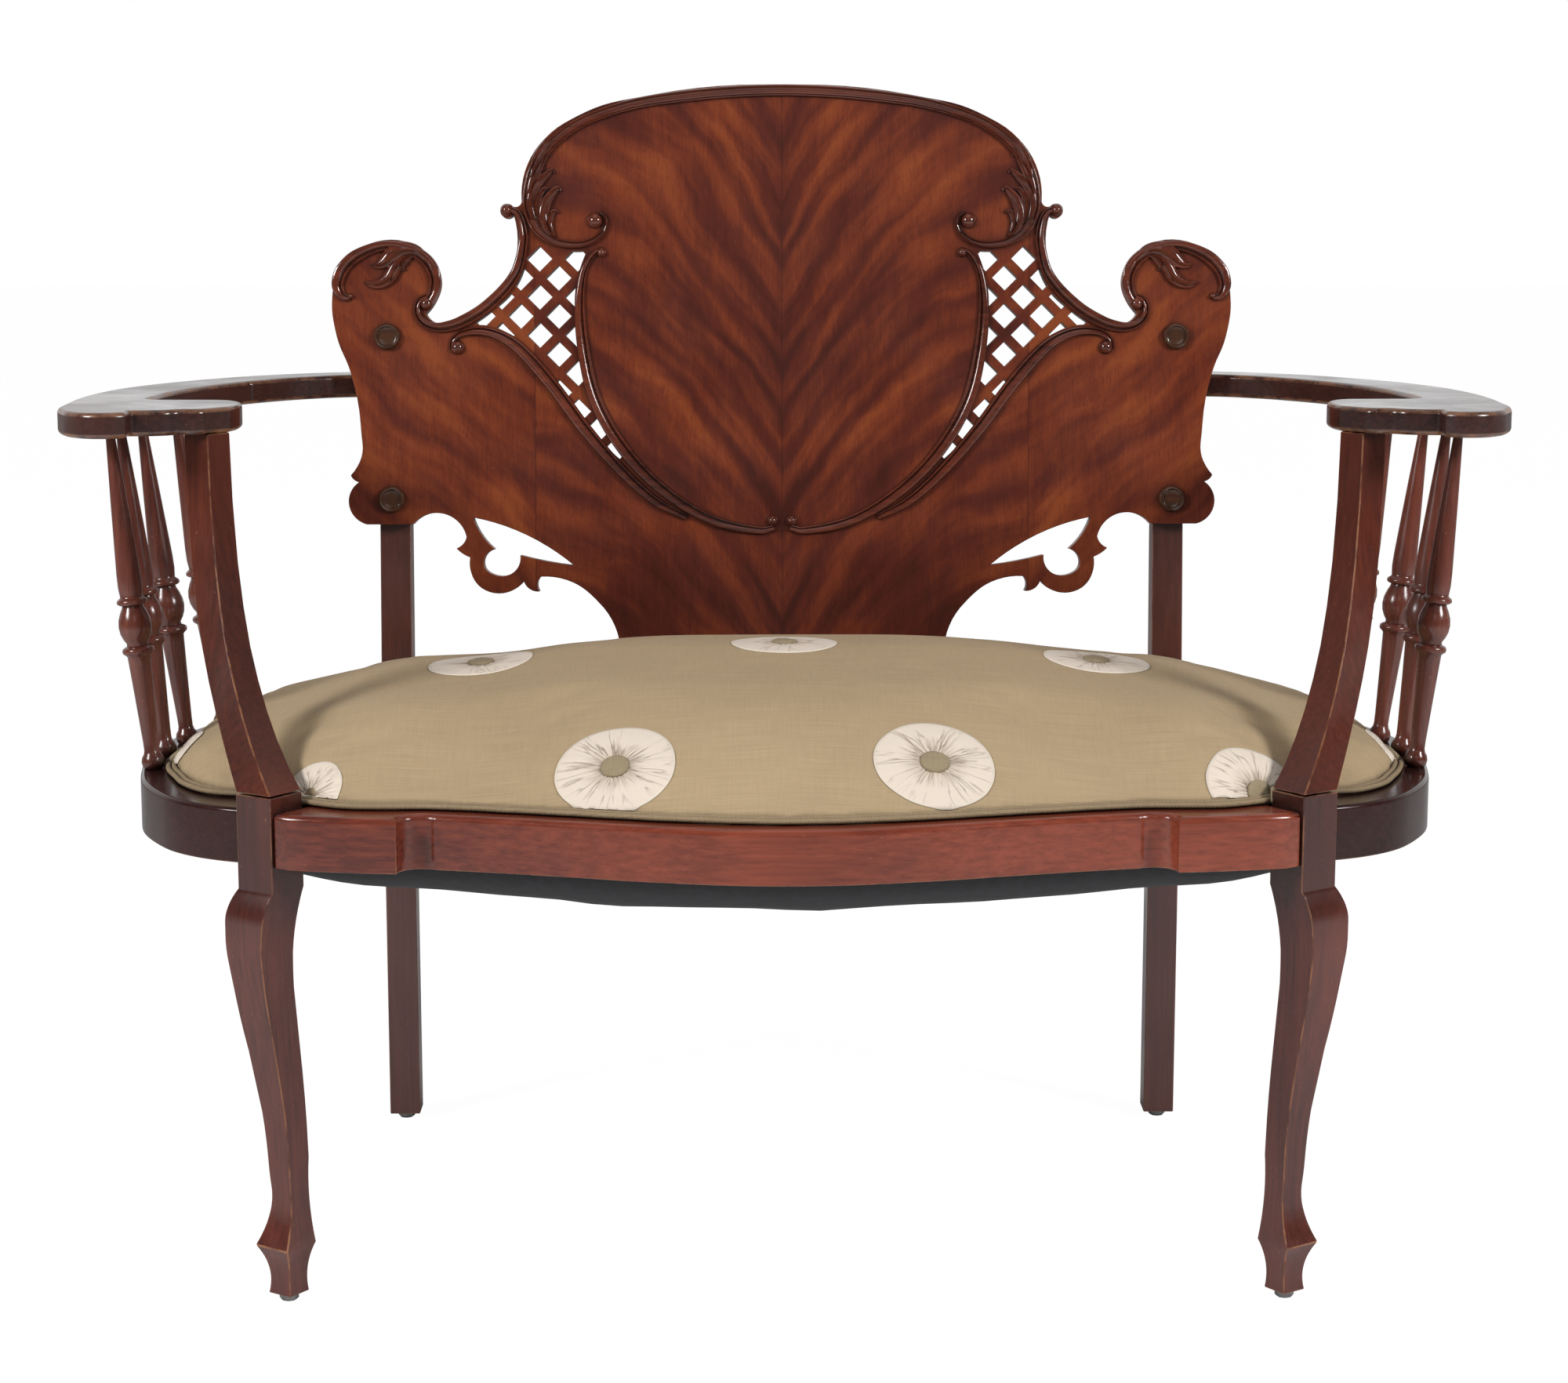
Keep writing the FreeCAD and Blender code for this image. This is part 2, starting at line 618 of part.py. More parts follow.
def crown_share(x):
    """How much of the full crown the seat has at a distance from its middle."""
    return (1 - (abs(x) / SEAT_HALF_LENGTH) ** 2.8) ** 0.7


def whole_length(stations):
    """Stations from one end of the seat to the other."""
    return [(-x, front, rear) for x, front, rear in reversed(stations[1:])] + stations


def crowned(base, height, stations, section, grow=0.0):
    """Rings of corners over the seat's plan, one at each station along it.

    A negative height hangs below the base instead of rising over it."""
    rings = []
    for x, front, rear in whole_length(stations):
        place = x * (1 + grow / SEAT_HALF_LENGTH)
        first, depth = front - grow, rear - front + 2 * grow
        rise = height * crown_share(x) + math.copysign(grow, height)
        rings.append([V(place, first + depth * along, base + rise * up)
                      for along, up in section])
    return rings


def seat_dome(grow=0.0):
    """The crown of the seat, or a form that stands a little outside it."""
    return stacked(crowned(SEAT_BASE, SEAT_CROWN, SEAT_STATIONS, SEAT_SECTION, grow),
                   creased=True)


def seat_layer(inner, outer):
    """A layer over the seat pad between two distances from it, above the welt."""
    layer = seat_dome(outer).cut(seat_dome(inner))
    return layer.common(box(-600, 600, -200, 600, SEAT_BASE + WELT_WIDTH, SEAT_BASE + 200))


def seat_patches(layer, radius, sides):
    """Round pieces of a layer over the seat, one for each rosette."""
    punch = turned([(0, radius), (60, radius)], sides)
    patches = []
    for x, y, tilt in ROSETTES:
        lean = math.radians(tilt)
        normal = V(x / 900.0, -math.sin(lean), math.cos(lean))
        height = SEAT_BASE + SEAT_CROWN * crown_share(x) * (0.95 if tilt < 10 else 0.5)
        place = FreeCAD.Placement(V(x, y, height) - normal * 30,
                                  FreeCAD.Rotation(V(0, 0, 1), normal))
        patches.append(largest(layer.common(placed(punch, place))))
    return group(patches)


def seat_webbing():
    """Jute straps under the frame, laid across each other."""
    corner = placed(box(-90, 90, -60, 25, 300, 400), LEG_PLACE)
    rim = seat_plan(WELT_WIDTH, 300, 380).cut(both([corner]))
    middle = SEAT_RAIL_BOTTOM - WEBBING_THICKNESS
    straps = []
    for x in (-380, -285, -190, -95, 0, 95, 190, 285, 380):
        strap = box(x - WEBBING_WIDTH / 2, x + WEBBING_WIDTH / 2, -55 + abs(x) / 4, 462,
                    middle, SEAT_RAIL_BOTTOM)
        straps.extend(strap.common(rim).Solids)
    for y in (110, 205, 300):
        strap = box(-500, 500, y - WEBBING_WIDTH / 2, y + WEBBING_WIDTH / 2,
                    middle - WEBBING_THICKNESS, middle)
        straps.extend(strap.common(rim).Solids)
    return group(straps)


def seat_plan(grow, bottom, top):
    """An upright plate with the seat's plan, grown or shrunk all round."""
    outline = whole_length(SEAT_STATIONS)
    stretch = 1 + grow / SEAT_HALF_LENGTH
    corners = [V(x * stretch, front - grow, bottom) for x, front, rear in outline]
    corners += [V(x * stretch, rear + grow, bottom) for x, front, rear in reversed(outline)]
    return flat(corners).extrude(V(0, 0, top - bottom))


def seat_welt():
    """The double cord that covers the raw edge of the cover, all the way round."""
    top = SEAT_BASE + WELT_WIDTH
    return seat_plan(WELT_WIDTH, SEAT_BASE, top).cut(seat_plan(0.0, SEAT_BASE, top))


def dust_cover():
    """Thin cloth tacked under the webbing, sagging in the middle."""
    top = SEAT_RAIL_BOTTOM - 2 * WEBBING_THICKNESS
    hung, room = [stacked(crowned(top + lift, -DUST_COVER_SAG, SEAT_STATIONS,
                                  HANGING_SECTION), creased=True)
                  for lift in (0, DUST_COVER_THICKNESS)]
    return hung.cut(room)


def corner_blocks(leg, post):
    """Glued blocks that brace the frame inside each corner."""
    low, high = SEAT_RAIL_BOTTOM + 7, SEAT_RAIL_TOP - 5
    inside = plate(seat_opening(), low, high)
    wedges = []
    for corners, neighbour in (
            ([(-330, -30), (-330, 40), (-405, 92), (-470, 92), (-470, -30)], leg),
            ([(-330, 460), (-330, 392), (-385, 345), (-470, 345), (-470, 460)], post)):
        outline = Part.makePolygon([V(x, y, low) for x, y in corners + corners[:1]])
        wedge = Part.Face(outline).extrude(V(0, 0, high - low))
        wedges.append(largest(wedge.common(inside).cut(neighbour)))
    return group(both(wedges))


def foot_glides():
    """A domed metal glide under each foot."""
    glide = turned([(0, 6), (1.5, 7.5), (FOOT_BOTTOM, 7.5)], 8)
    front = LEG_PLACE.multVec(V(3.9, 3.9, 0))
    glides = [placed(glide, FreeCAD.Placement(place, FreeCAD.Rotation()))
              for place in (front, V(-POST_X, POST_FRONT_Y + POST_DEPTH / 2, 0))]
    return group(both(glides))


def build():
    leg = front_leg()
    post = rear_post()
    front_rail, side_rail, rear_rail = seat_frame(post)
    support, low_tenon, high_tenon = arm_support()
    segments = arm_segments()
    spindles = [spindle(foot, top) for foot, top in zip(SPINDLE_FEET, SPINDLE_TOPS)]
    board = back_board()

    support = support.cut(segments).fuse([low_tenon, high_tenon])
    leg = leg.cut([front_rail, side_rail, support])
    post = post.cut([rear_rail, side_rail, segments[2]])
    side_rail = side_rail.cut(spindles)
    rear_rail = rear_rail.cut(board)
    segments = [segment.cut(spindles + [support]) for segment in segments]

    pairs = {
        "side_rail": side_rail,
        "front_leg": leg,
        "rear_post": post,
        "arm_support": support,
        "arm_front": segments[0],
        "arm_middle": segments[1],
        "arm_rear": segments[2],
    }
    nodes = {"front_rail": front_rail, "rear_rail": rear_rail, "back_splat": board}
    for name, shape in pairs.items():
        nodes[name + "_left"] = largest(shape)
        nodes[name + "_right"] = mirrored(largest(shape))
    for number, shape in enumerate(spindles, 1):
        nodes["spindle_left_%d" % number] = shape
        nodes["spindle_right_%d" % number] = mirrored(shape)
    crest, wing, shoulder = crest_moulding(), wing_moulding(), shoulder_moulding()
    cove = cove_moulding().cut([crest, wing, shoulder])
    nodes["crest_moulding"] = crest
    nodes["wing_mouldings"] = group(both([wing]))
    nodes["cove_mouldings"] = group(both(cove.Solids))
    nodes["oval_mouldings"] = group(both([oval_moulding()]))
    nodes["shoulder_mouldings"] = group(both([shoulder]))
    nodes["splat_buttons"] = splat_buttons()

    legs = both([front_leg()])
    blocks = corner_blocks(front_leg(), post)
    nodes["corner_blocks"] = blocks
    filling = seat_plan(-23.0, SEAT_RAIL_BOTTOM, SEAT_BASE).cut(legs + [blocks])
    nodes["seat_filling"] = largest(filling)
    nodes["seat_pad"] = seat_dome()
    nodes["seat_welt"] = largest(seat_welt().cut(legs))
    nodes["rosettes"] = seat_patches(seat_layer(0, ROSETTE_THICKNESS), ROSETTE_RADIUS, 12)
    button_layer = seat_layer(ROSETTE_THICKNESS, ROSETTE_THICKNESS + ROSETTE_BUTTON_THICKNESS)
    nodes["rosette_buttons"] = seat_patches(button_layer, ROSETTE_BUTTON_RADIUS, 8)
    nodes["seat_webbing"] = seat_webbing()
    nodes["dust_cover"] = dust_cover()
    nodes["foot_glides"] = foot_glides()
    return nodes


os.makedirs("parts", exist_ok=True)
rear_edge = ARM_PLACE.multVec(V(0, ARM_END_Y, ARM_THICKNESS)).y
middle = (FRONT_EDGE_Y + rear_edge) / 2
for name, shape in build().items():
    shape.translate(V(0, -middle, 0))
    bounds = shape.BoundBox
    print("%-20s %3d solids %5d faces %8.1f cm3 valid %s  y %.1f..%.1f z %.1f..%.1f" % (
        name, len(shape.Solids), len(shape.Faces), shape.Volume / 1000, shape.isValid(),
        bounds.YMin, bounds.YMax, bounds.ZMin, bounds.ZMax))
    shape.exportStep("parts/%s.step" % name)
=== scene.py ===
import math

import bmesh
import bpy
from bpy.props import FloatProperty, FloatVectorProperty, IntProperty, PointerProperty
from bpy.types import Operator, Panel, PropertyGroup
from mathutils import Matrix, Vector, noise
from mathutils.bvhtree import BVHTree


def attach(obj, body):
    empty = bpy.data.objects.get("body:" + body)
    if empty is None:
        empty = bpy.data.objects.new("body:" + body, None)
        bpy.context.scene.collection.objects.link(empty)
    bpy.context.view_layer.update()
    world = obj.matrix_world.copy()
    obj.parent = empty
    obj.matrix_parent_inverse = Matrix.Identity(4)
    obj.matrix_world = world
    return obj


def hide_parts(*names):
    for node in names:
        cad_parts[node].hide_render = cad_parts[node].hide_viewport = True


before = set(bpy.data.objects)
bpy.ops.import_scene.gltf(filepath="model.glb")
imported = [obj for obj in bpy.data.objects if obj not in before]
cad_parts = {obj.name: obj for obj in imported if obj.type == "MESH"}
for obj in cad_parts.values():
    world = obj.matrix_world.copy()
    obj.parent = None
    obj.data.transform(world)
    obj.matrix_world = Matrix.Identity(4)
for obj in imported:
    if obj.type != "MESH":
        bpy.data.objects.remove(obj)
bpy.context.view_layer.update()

bl_info = {
    "name": "Splat-back settee",
    "version": (1, 0, 0),
    "blender": (4, 5, 0),
    "location": "View3D > Sidebar > Settee",
    "description": "Dresses the settee's frame, carved back and upholstered seat",
    "category": "Object",
}

BOARD_RAKE = math.radians(6)
# where the middle of the settee lies behind the line through its front feet, and the
# front of the back board and the top of the seat rail that the board stands on
MIDDLE_Y = 0.23162
BOARD_Y = 0.445
RAIL_TOP = 0.387
# the front legs' square blocks, and how their faces are turned
LEG_X = 0.3895
LEG_TURN = math.radians(35)
BLOCK_HALF = 0.0175
# the underside of the arms at a tenth of a metre from the front feet, and their fall
ARM_BOTTOM = 0.657
ARM_DROP = math.radians(0.8)
# where the spindles stand on a side rail and meet its arm, in millimetres
SPINDLE_FEET = [(502, 152), (501, 205), (492, 257), (472, 326)]
SPINDLE_TOPS = [(529, 156), (531, 211), (524, 266), (505, 319)]


def board_place():
    """Turns (across, up, out) in millimetres on the back board into settee metres."""
    lean, rise = math.sin(BOARD_RAKE), math.cos(BOARD_RAKE)
    turned = Matrix(((1, 0, 0, 0), (0, lean, -rise, 0), (0, rise, lean, 0), (0, 0, 0, 1)))
    return Matrix.Translation((0, BOARD_Y - MIDDLE_Y, RAIL_TOP)) @ turned @ Matrix.Scale(0.001, 4)


BOARD = board_place()


# Shapes

def smooth_path(points, step, closed=False):
    """Points about a step apart on a smooth curve through the given ones."""
    spots = [Vector(p) for p in points]
    count = len(spots)
    path = []
    for i in range(count if closed else count - 1):
        if closed:
            before, a, b, after = (spots[(i + k) % count] for k in (-1, 0, 1, 2))
        else:
            a, b = spots[i], spots[i + 1]
            before = spots[i - 1] if i else a * 2 - b
            after = spots[i + 2] if i + 2 < count else b * 2 - a
        gap = (b - a).length
        leave = (b - before) * (gap / max((b - a).length + (a - before).length, 1e-9))
        arrive = (after - a) * (gap / max((after - b).length + gap, 1e-9))
        pieces = max(1, round(gap / step))
        for k in range(pieces):
            t = k / pieces
            path.append(a * (2 * t ** 3 - 3 * t ** 2 + 1) + leave * (t ** 3 - 2 * t ** 2 + t)
                        + b * (3 * t ** 2 - 2 * t ** 3) + arrive * (t ** 3 - t ** 2))
    if not closed:
        path.append(spots[-1])
    return path


def spread(values, share):
    """The value at a share of the way along an evenly spaced list."""
    place = share * (len(values) - 1)
    low = min(int(place), len(values) - 2)
    return values[low] + (values[low + 1] - values[low]) * (place - low)


def stations_along(path, widths, heights, up=Vector((0, 0, 1)), closed=False):
    """A matrix at each point of a path that sizes and turns a profile square to it."""
    places = []
    last = len(path) - 1
    for i, spot in enumerate(path):
        before = path[i - 1] if i or closed else path[0]
        after = path[(i + 1) % len(path)] if i < last or closed else path[last]
        ahead = (after - before).normalized()
        side = up.cross(ahead).normalized()
        rise = ahead.cross(side)
        share = i / last
        wide, high = spread(widths, share) / 2, spread(heights, share)
        turn = Matrix((side, ahead, rise)).transposed().to_4x4()
        places.append(Matrix.Translation(spot) @ turn @ Matrix.Diagonal((wide, 1, high, 1)))
    return places


def sweep(bm, profile, places, closed=False):
    """Extrudes a closed profile from place to place, and closes its ends or joins them."""
    corners = [bm.verts.new(places[0] @ Vector((across, 0, height))) for across, height in profile]
    first = loop = [bm.edges.new(pair) for pair in zip(corners, corners[1:] + corners[:1])]
    for before, after in zip(places, places[1:]):
        grown = bmesh.ops.extrude_edge_only(bm, edges=loop)["geom"]
        corners = {part for part in grown if isinstance(part, bmesh.types.BMVert)}
        bmesh.ops.transform(bm, matrix=after @ before.inverted(), verts=list(corners))
        loop = [part for part in grown if isinstance(part, bmesh.types.BMEdge)
                and part.verts[0] in corners and part.verts[1] in corners]
    if closed:
        bmesh.ops.bridge_loops(bm, edges=first + loop)
    else:
        bmesh.ops.contextual_create(bm, geom=first)
        bmesh.ops.contextual_create(bm, geom=loop)


def turn_on_lathe(bm, profile, place, steps):
    """Spins (radius, height) pairs round an axis; the place is handed back unused."""
    corners = [bm.verts.new((radius, 0, height)) for radius, height in profile]
    edges = [bm.edges.new(pair) for pair in zip(corners, corners[1:])]
    bmesh.ops.spin(bm, geom=corners + edges, axis=(0, 0, 1), cent=(0, 0, 0),
                   angle=2 * math.pi, steps=steps, use_merge=True)
    return place


def add_turning(bm, profile, place, steps=24):
    piece = bmesh.new()
    turn_on_lathe(piece, profile, place, steps)
    bmesh.ops.remove_doubles(piece, verts=piece.verts, dist=1e-6)
    bmesh.ops.transform(piece, matrix=place, verts=piece.verts)
    merge_into(bm, piece)


def merge_into(bm, piece):
    """Adds a finished piece to another mesh and frees it."""
    carried = bpy.data.meshes.new("carried")
    piece.to_mesh(carried)
    piece.free()
    bm.from_mesh(carried)
    bpy.data.meshes.remove(carried)


def mirror_across(bm):
    """Adds the other half of a pair."""
    copied = bmesh.ops.duplicate(bm, geom=bm.verts[:] + bm.edges[:] + bm.faces[:])["geom"]
    corners = [part for part in copied if isinstance(part, bmesh.types.BMVert)]
    bmesh.ops.scale(bm, vec=(-1, 1, 1), verts=corners)


def finish_piece(name, bm, material, nodes=(), smooth_below=40, outward=True):
    """Makes the mesh an object that rides on the settee and stands in for its CAD pieces."""
    if outward:
        bmesh.ops.recalc_face_normals(bm, faces=bm.faces)
    mesh = bpy.data.meshes.new(name)
    bm.to_mesh(mesh)
    bm.free()
    for polygon in mesh.polygons:
        polygon.use_smooth = True
    mesh.set_sharp_from_angle(angle=math.radians(smooth_below))
    mesh.materials.append(material)
    piece = bpy.data.objects.new(name, mesh)
    bpy.context.scene.collection.objects.link(piece)
    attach(piece, "root")
    if nodes:
        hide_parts(*nodes)
    return piece


def block_joints():
    """The planes in which the rails meet the leg blocks and the rear posts."""
    planes = [(Vector((1, 0, 0)), side * x) for side in (-1, 1) for x in (0.3275, 0.3545)]
    for side in (-1, 1):
        across = Vector((side * math.cos(LEG_TURN), -math.sin(LEG_TURN), 0))
        middle = across.dot(Vector((side * LEG_X, -MIDDLE_Y, 0)))
        planes += [(across, middle - BLOCK_HALF), (across, middle + BLOCK_HALF)]
    return planes


def arm_joints():
    """The planes in which the boards of an arm meet each other and the posts."""
    along = Vector((0, math.cos(ARM_DROP), -math.sin(ARM_DROP)))
    start = along.dot(Vector((0, 0.1 - MIDDLE_Y, ARM_BOTTOM)))
    planes = [(along, start + y - 0.1) for y in (0.214, 0.418)]
    return planes + [(Vector((1, 0, 0)), side * 0.354) for side in (-1, 1)]


def lies_in(edge, planes):
    return any(all(abs(corner.co.dot(across) - place) < 2e-4 for corner in edge.verts)
               for across, place in planes)


def close_sockets(bm, places, reach):
    """Fills the blind holes round the given places, which other pieces cover."""
    spots = [Vector((x / 1000, y / 1000 - MIDDLE_Y)) for x, y in places]
    for spot in spots:
        for side in (-1, 1):
            middle = Vector((spot.x * side, spot.y))
            inner = [face for face in bm.faces
                     if all((corner.co.xy - middle).length < reach for corner in face.verts)]
            bmesh.ops.delete(bm, geom=inner, context="FACES")
    bmesh.ops.holes_fill(bm, edges=[edge for edge in bm.edges if edge.is_boundary], sides=0)


def eased_copy(node, ease, segments=2, sharp_above=32, joints=(), sockets=(), level=False, top=None):
    """A copy of a CAD piece with its arrises eased and their wear marked in an attribute.

    Arrises that lie in a joint stay sharp, and so do the upright ones of a level piece. The
    highest ones can have an easing of their own."""
    bm = bmesh.new()
    bm.from_mesh(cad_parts[node].data)
    bmesh.ops.remove_doubles(bm, verts=bm.verts, dist=1e-5)
    close_sockets(bm, sockets, 0.0094 if top else 0.0072)
    bmesh.ops.dissolve_limit(bm, angle_limit=math.radians(0.6), verts=bm.verts, edges=bm.edges)

    def arrises(bm):
        return [edge for edge in bm.edges if edge.is_manifold and edge.is_convex
                and edge.calc_face_angle() > math.radians(sharp_above) and not lies_in(edge, joints)
                and not (level and abs(edge.verts[0].co.z - edge.verts[1].co.z) > 0.006)]

    worn = bm.verts.layers.float.new("wear")
    rounded = set()
    height = max(corner.co.z for corner in bm.verts)
    for offset in (top, ease):
        edges = [edge for edge in arrises(bm) if not all(face in rounded for face in edge.link_faces)
                 and (offset == ease or min(corner.co.z for corner in edge.verts) > height - 1e-4)] if offset else []
        if edges:
            made = bmesh.ops.bevel(bm, geom=edges, offset=offset, offset_type="OFFSET", segments=segments,
                                   profile=0.5, affect="EDGES", material=-1, clamp_overlap=False)
            rounded.update(made["faces"])
        rounded = {face for face in rounded if face.is_valid}
    for corner in bm.verts:
        on_nosing = top and corner.co.z > height - top * 1.2
        if corner.link_faces and not on_nosing and all(face in rounded for face in corner.link_faces):
            corner[worn] = 2.4 if 0.03 < corner.co.z < 0.056 else 1.0
    return bm


def weigh_normals(piece):
    """Keeps the flats flat between eased arrises."""
    weighted = piece.modifiers.new("Flat faces", "WEIGHTED_NORMAL")
    weighted.keep_sharp = True
    weighted.weight = 80


# Materials

def add(tree, kind, inputs=None, **settings):
    """A shader node with its sockets set or linked."""
    made = tree.nodes.new(kind)
    for name, value in settings.items():
        setattr(made, name, value)
    for name, value in (inputs or {}).items():
        if isinstance(value, bpy.types.NodeSocket):
            tree.links.new(value, made.inputs[name])
        else:
            made.inputs[name].default_value = value
    return made


def maths(tree, operation, *values, clamp=False):
    return add(tree, "ShaderNodeMath", dict(enumerate(values)), operation=operation,
               use_clamp=clamp).outputs[0]


def mix(tree, amount, first, second, blend="MIX"):
    return add(tree, "ShaderNodeMix", {0: amount, 6: first, 7: second}, data_type="RGBA",
               blend_type=blend).outputs[2]


def remap(tree, value, low, high, to_low=0.0, to_high=1.0):
    return add(tree, "ShaderNodeMapRange", {0: value, 1: low, 2: high, 3: to_low, 4: to_high}
               ).outputs[0]


def stretched_noise(tree, where, scale, detail=3.0, rough=0.55, warp=0.0):
    """Noise with its own scale along each axis, in cycles a metre."""
    mapped = add(tree, "ShaderNodeMapping", {"Vector": where, "Scale": scale})
    return add(tree, "ShaderNodeTexNoise",
               {"Vector": mapped.outputs[0], "Scale": 1.0, "Detail": detail, "Roughness": rough,
                "Distortion": warp}).outputs[0]


def new_group(name, inputs, outputs):
    group = bpy.data.node_groups.new(name, "ShaderNodeTree")
    for label, kind, default in inputs:
        socket = group.interface.new_socket(label, in_out="INPUT", socket_type=kind)
        socket.default_value = default
    for label, kind in outputs:
        group.interface.new_socket(label, in_out="OUTPUT", socket_type=kind)
    start = group.nodes.new("NodeGroupInput")
    end = group.nodes.new("NodeGroupOutput")
    return group, start, end


COLOUR, NUMBER, DIRECTION = "NodeSocketColor", "NodeSocketFloat", "NodeSocketVector"


def straight_grain_group():
    """Straight mahogany grain along the third axis of its vector."""
    group, start, end = new_group(
        "Straight grain",
        [("Vector", DIRECTION, (0, 0, 0)), ("Dark", COLOUR, (0.03, 0.01, 0.008, 1)),
         ("Light", COLOUR, (0.1, 0.03, 0.02, 1))],
        [("Color", COLOUR), ("Height", NUMBER)])
    where = start.outputs["Vector"]
    fibres = stretched_noise(group, where, (260, 260, 7), 4, 0.6)
    clouds = stretched_noise(group, where, (9, 9, 3.5), 2, 0.5, 0.3)
    pores = stretched_noise(group, where, (900, 900, 45), 2, 0.5)
    tone = maths(group, "ADD", maths(group, "MULTIPLY", fibres, 0.55),
                 maths(group, "MULTIPLY", clouds, 0.65))
    colour = mix(group, remap(group, tone, 0.42, 0.78), start.outputs["Dark"],
                 start.outputs["Light"])
    pore = remap(group, pores, 0.62, 0.7)
    colour = mix(group, maths(group, "MULTIPLY", pore, 0.45), colour, start.outputs["Dark"])
    group.links.new(colour, end.inputs["Color"])
    group.links.new(maths(group, "SUBTRACT", fibres, pore), end.inputs["Height"])
    return group


def worn_polish_group():
    """Rubs the polish through on arrises and adds small marks."""
    group, start, end = new_group(
        "Worn polish",
        [("Color", COLOUR, (0.1, 0.03, 0.02, 1)), ("Bare wood", COLOUR, (0.35, 0.16, 0.07, 1)),
         ("Wear", NUMBER, 0.5), ("Roughness", NUMBER, 0.3)],
        [("Color", COLOUR), ("Roughness", NUMBER)])
    place = add(group, "ShaderNodeTexCoord").outputs["Object"]
    edge = add(group, "ShaderNodeAttribute", attribute_name="wear").outputs["Fac"]
    patches = stretched_noise(group, place, (42, 42, 42), 5, 0.65)
    rubbed = maths(group, "MULTIPLY", edge, remap(group, patches, 0.62, 0.42))
    rubbed = maths(group, "MULTIPLY", rubbed, start.outputs["Wear"], clamp=True)
    specks = remap(group, stretched_noise(group, place, (330, 330, 330), 1, 0.4), 0.76, 0.8)
    rubbed = maths(group, "MAXIMUM", rubbed, maths(group, "MULTIPLY", specks,
                                                   maths(group, "MULTIPLY", start.outputs["Wear"], 0.45)))
    colour = mix(group, rubbed, start.outputs["Color"], start.outputs["Bare wood"])
    smears = stretched_noise(group, place, (14, 14, 14), 4, 0.6, 0.5)
    rough = maths(group, "ADD", start.outputs["Roughness"], remap(group, smears, 0.3, 0.7, -0.06, 0.1))
    rough = maths(group, "ADD", rough, maths(group, "MULTIPLY", rubbed, 0.25), clamp=True)
    group.links.new(colour, end.inputs["Color"])
    group.links.new(rough, end.inputs["Roughness"])
    return group


def weave_group():
    """Plain weave: a height for bump and a tone for each thread."""
    group, start, end = new_group(
        "Weave", [("Vector", DIRECTION, (0, 0, 0)), ("Pitch", NUMBER, 0.0011)],
        [("Height", NUMBER), ("Tone", NUMBER)])
    parts = add(group, "ShaderNodeSeparateXYZ", {0: start.outputs["Vector"]})
    turns = maths(group, "DIVIDE", math.pi, start.outputs["Pitch"])
    warp = maths(group, "SINE", maths(group, "MULTIPLY", parts.outputs[0], turns))
    weft = maths(group, "SINE", maths(group, "MULTIPLY", parts.outputs[1], turns))
    height = maths(group, "MULTIPLY", warp, weft)
    slub_warp = stretched_noise(group, start.outputs["Vector"], (760, 24, 1), 3, 0.6)
    slub_weft = stretched_noise(group, start.outputs["Vector"], (16, 700, 1), 3, 0.6)
    tone = maths(group, "ADD", maths(group, "MULTIPLY", slub_warp, 0.35), maths(group, "MULTIPLY", slub_weft, 0.65))
    group.links.new(height, end.inputs["Height"])
    group.links.new(tone, end.inputs["Tone"])
    return group


def start_material(name):
    material = bpy.data.materials.new(name)
    material.use_nodes = True
    tree = material.node_tree
    tree.nodes.clear()
    surface = tree.nodes.new("ShaderNodeBsdfPrincipled")
    output = tree.nodes.new("ShaderNodeOutputMaterial")
    tree.links.new(surface.outputs[0], output.inputs["Surface"])
    return material, tree, surface


def recess_shade(tree, colour, reach, depth, dark=(0.006, 0.003, 0.003, 1)):
    """Paints shade into the colour in corners, creases and recesses found by ambient occlusion; on the wood it also
    stands for old polish gathered there.
    """
    shade = add(tree, "ShaderNodeAmbientOcclusion", {"Distance": reach}, samples=8)
    amount = maths(tree, "MULTIPLY", remap(tree, shade.outputs["AO"], 0.95, 0.35), depth, clamp=True)
    return mix(tree, amount, colour, dark)


def wood_material(name, dark, light, grain_turn=(0, 0, 0), wear=0.6, gloss=0.3, shine=0.5, reach=0.012,
                  depth=0.75, bare=(0.3, 0.125, 0.052, 1), darkened_above=None):
    """French-polished mahogany with straight grain, and darker above a given height."""
    material, tree, surface = start_material(name)
    place = add(tree, "ShaderNodeTexCoord").outputs["Object"]
    turned = add(tree, "ShaderNodeMapping", {"Vector": place, "Rotation": grain_turn}).outputs[0]
    grain = add(tree, "ShaderNodeGroup", node_tree=bpy.data.node_groups["Straight grain"])
    tree.links.new(turned, grain.inputs["Vector"])
    grain.inputs["Dark"].default_value = dark
    grain.inputs["Light"].default_value = light
    colour = grain.outputs["Color"]
    # from the given height up over 35 mm the colour goes half-way to near-black, and stays so above it
    if darkened_above:
        height = add(tree, "ShaderNodeSeparateXYZ", {0: place}).outputs[2]
        colour = mix(tree, remap(tree, height, darkened_above, darkened_above + 0.035, 0.0, 0.5), colour, (0.02, 0.006, 0.005, 1))
    # painted shade in corners and recesses, where old polish has also gathered
    colour = recess_shade(tree, colour, reach, depth)
    worn = add(tree, "ShaderNodeGroup", node_tree=bpy.data.node_groups["Worn polish"])
    tree.links.new(colour, worn.inputs["Color"])
    worn.inputs["Bare wood"].default_value = bare
    worn.inputs["Wear"].default_value = wear
    worn.inputs["Roughness"].default_value = gloss
    tree.links.new(worn.outputs["Color"], surface.inputs["Base Color"])
    tree.links.new(worn.outputs["Roughness"], surface.inputs["Roughness"])
    surface.inputs["Specular IOR Level"].default_value = shine
    bump = add(tree, "ShaderNodeBump", {"Height": grain.outputs["Height"], "Strength": 0.12,
                                        "Distance": 0.0002})
    tree.links.new(bump.outputs[0], surface.inputs["Normal"])
    return material


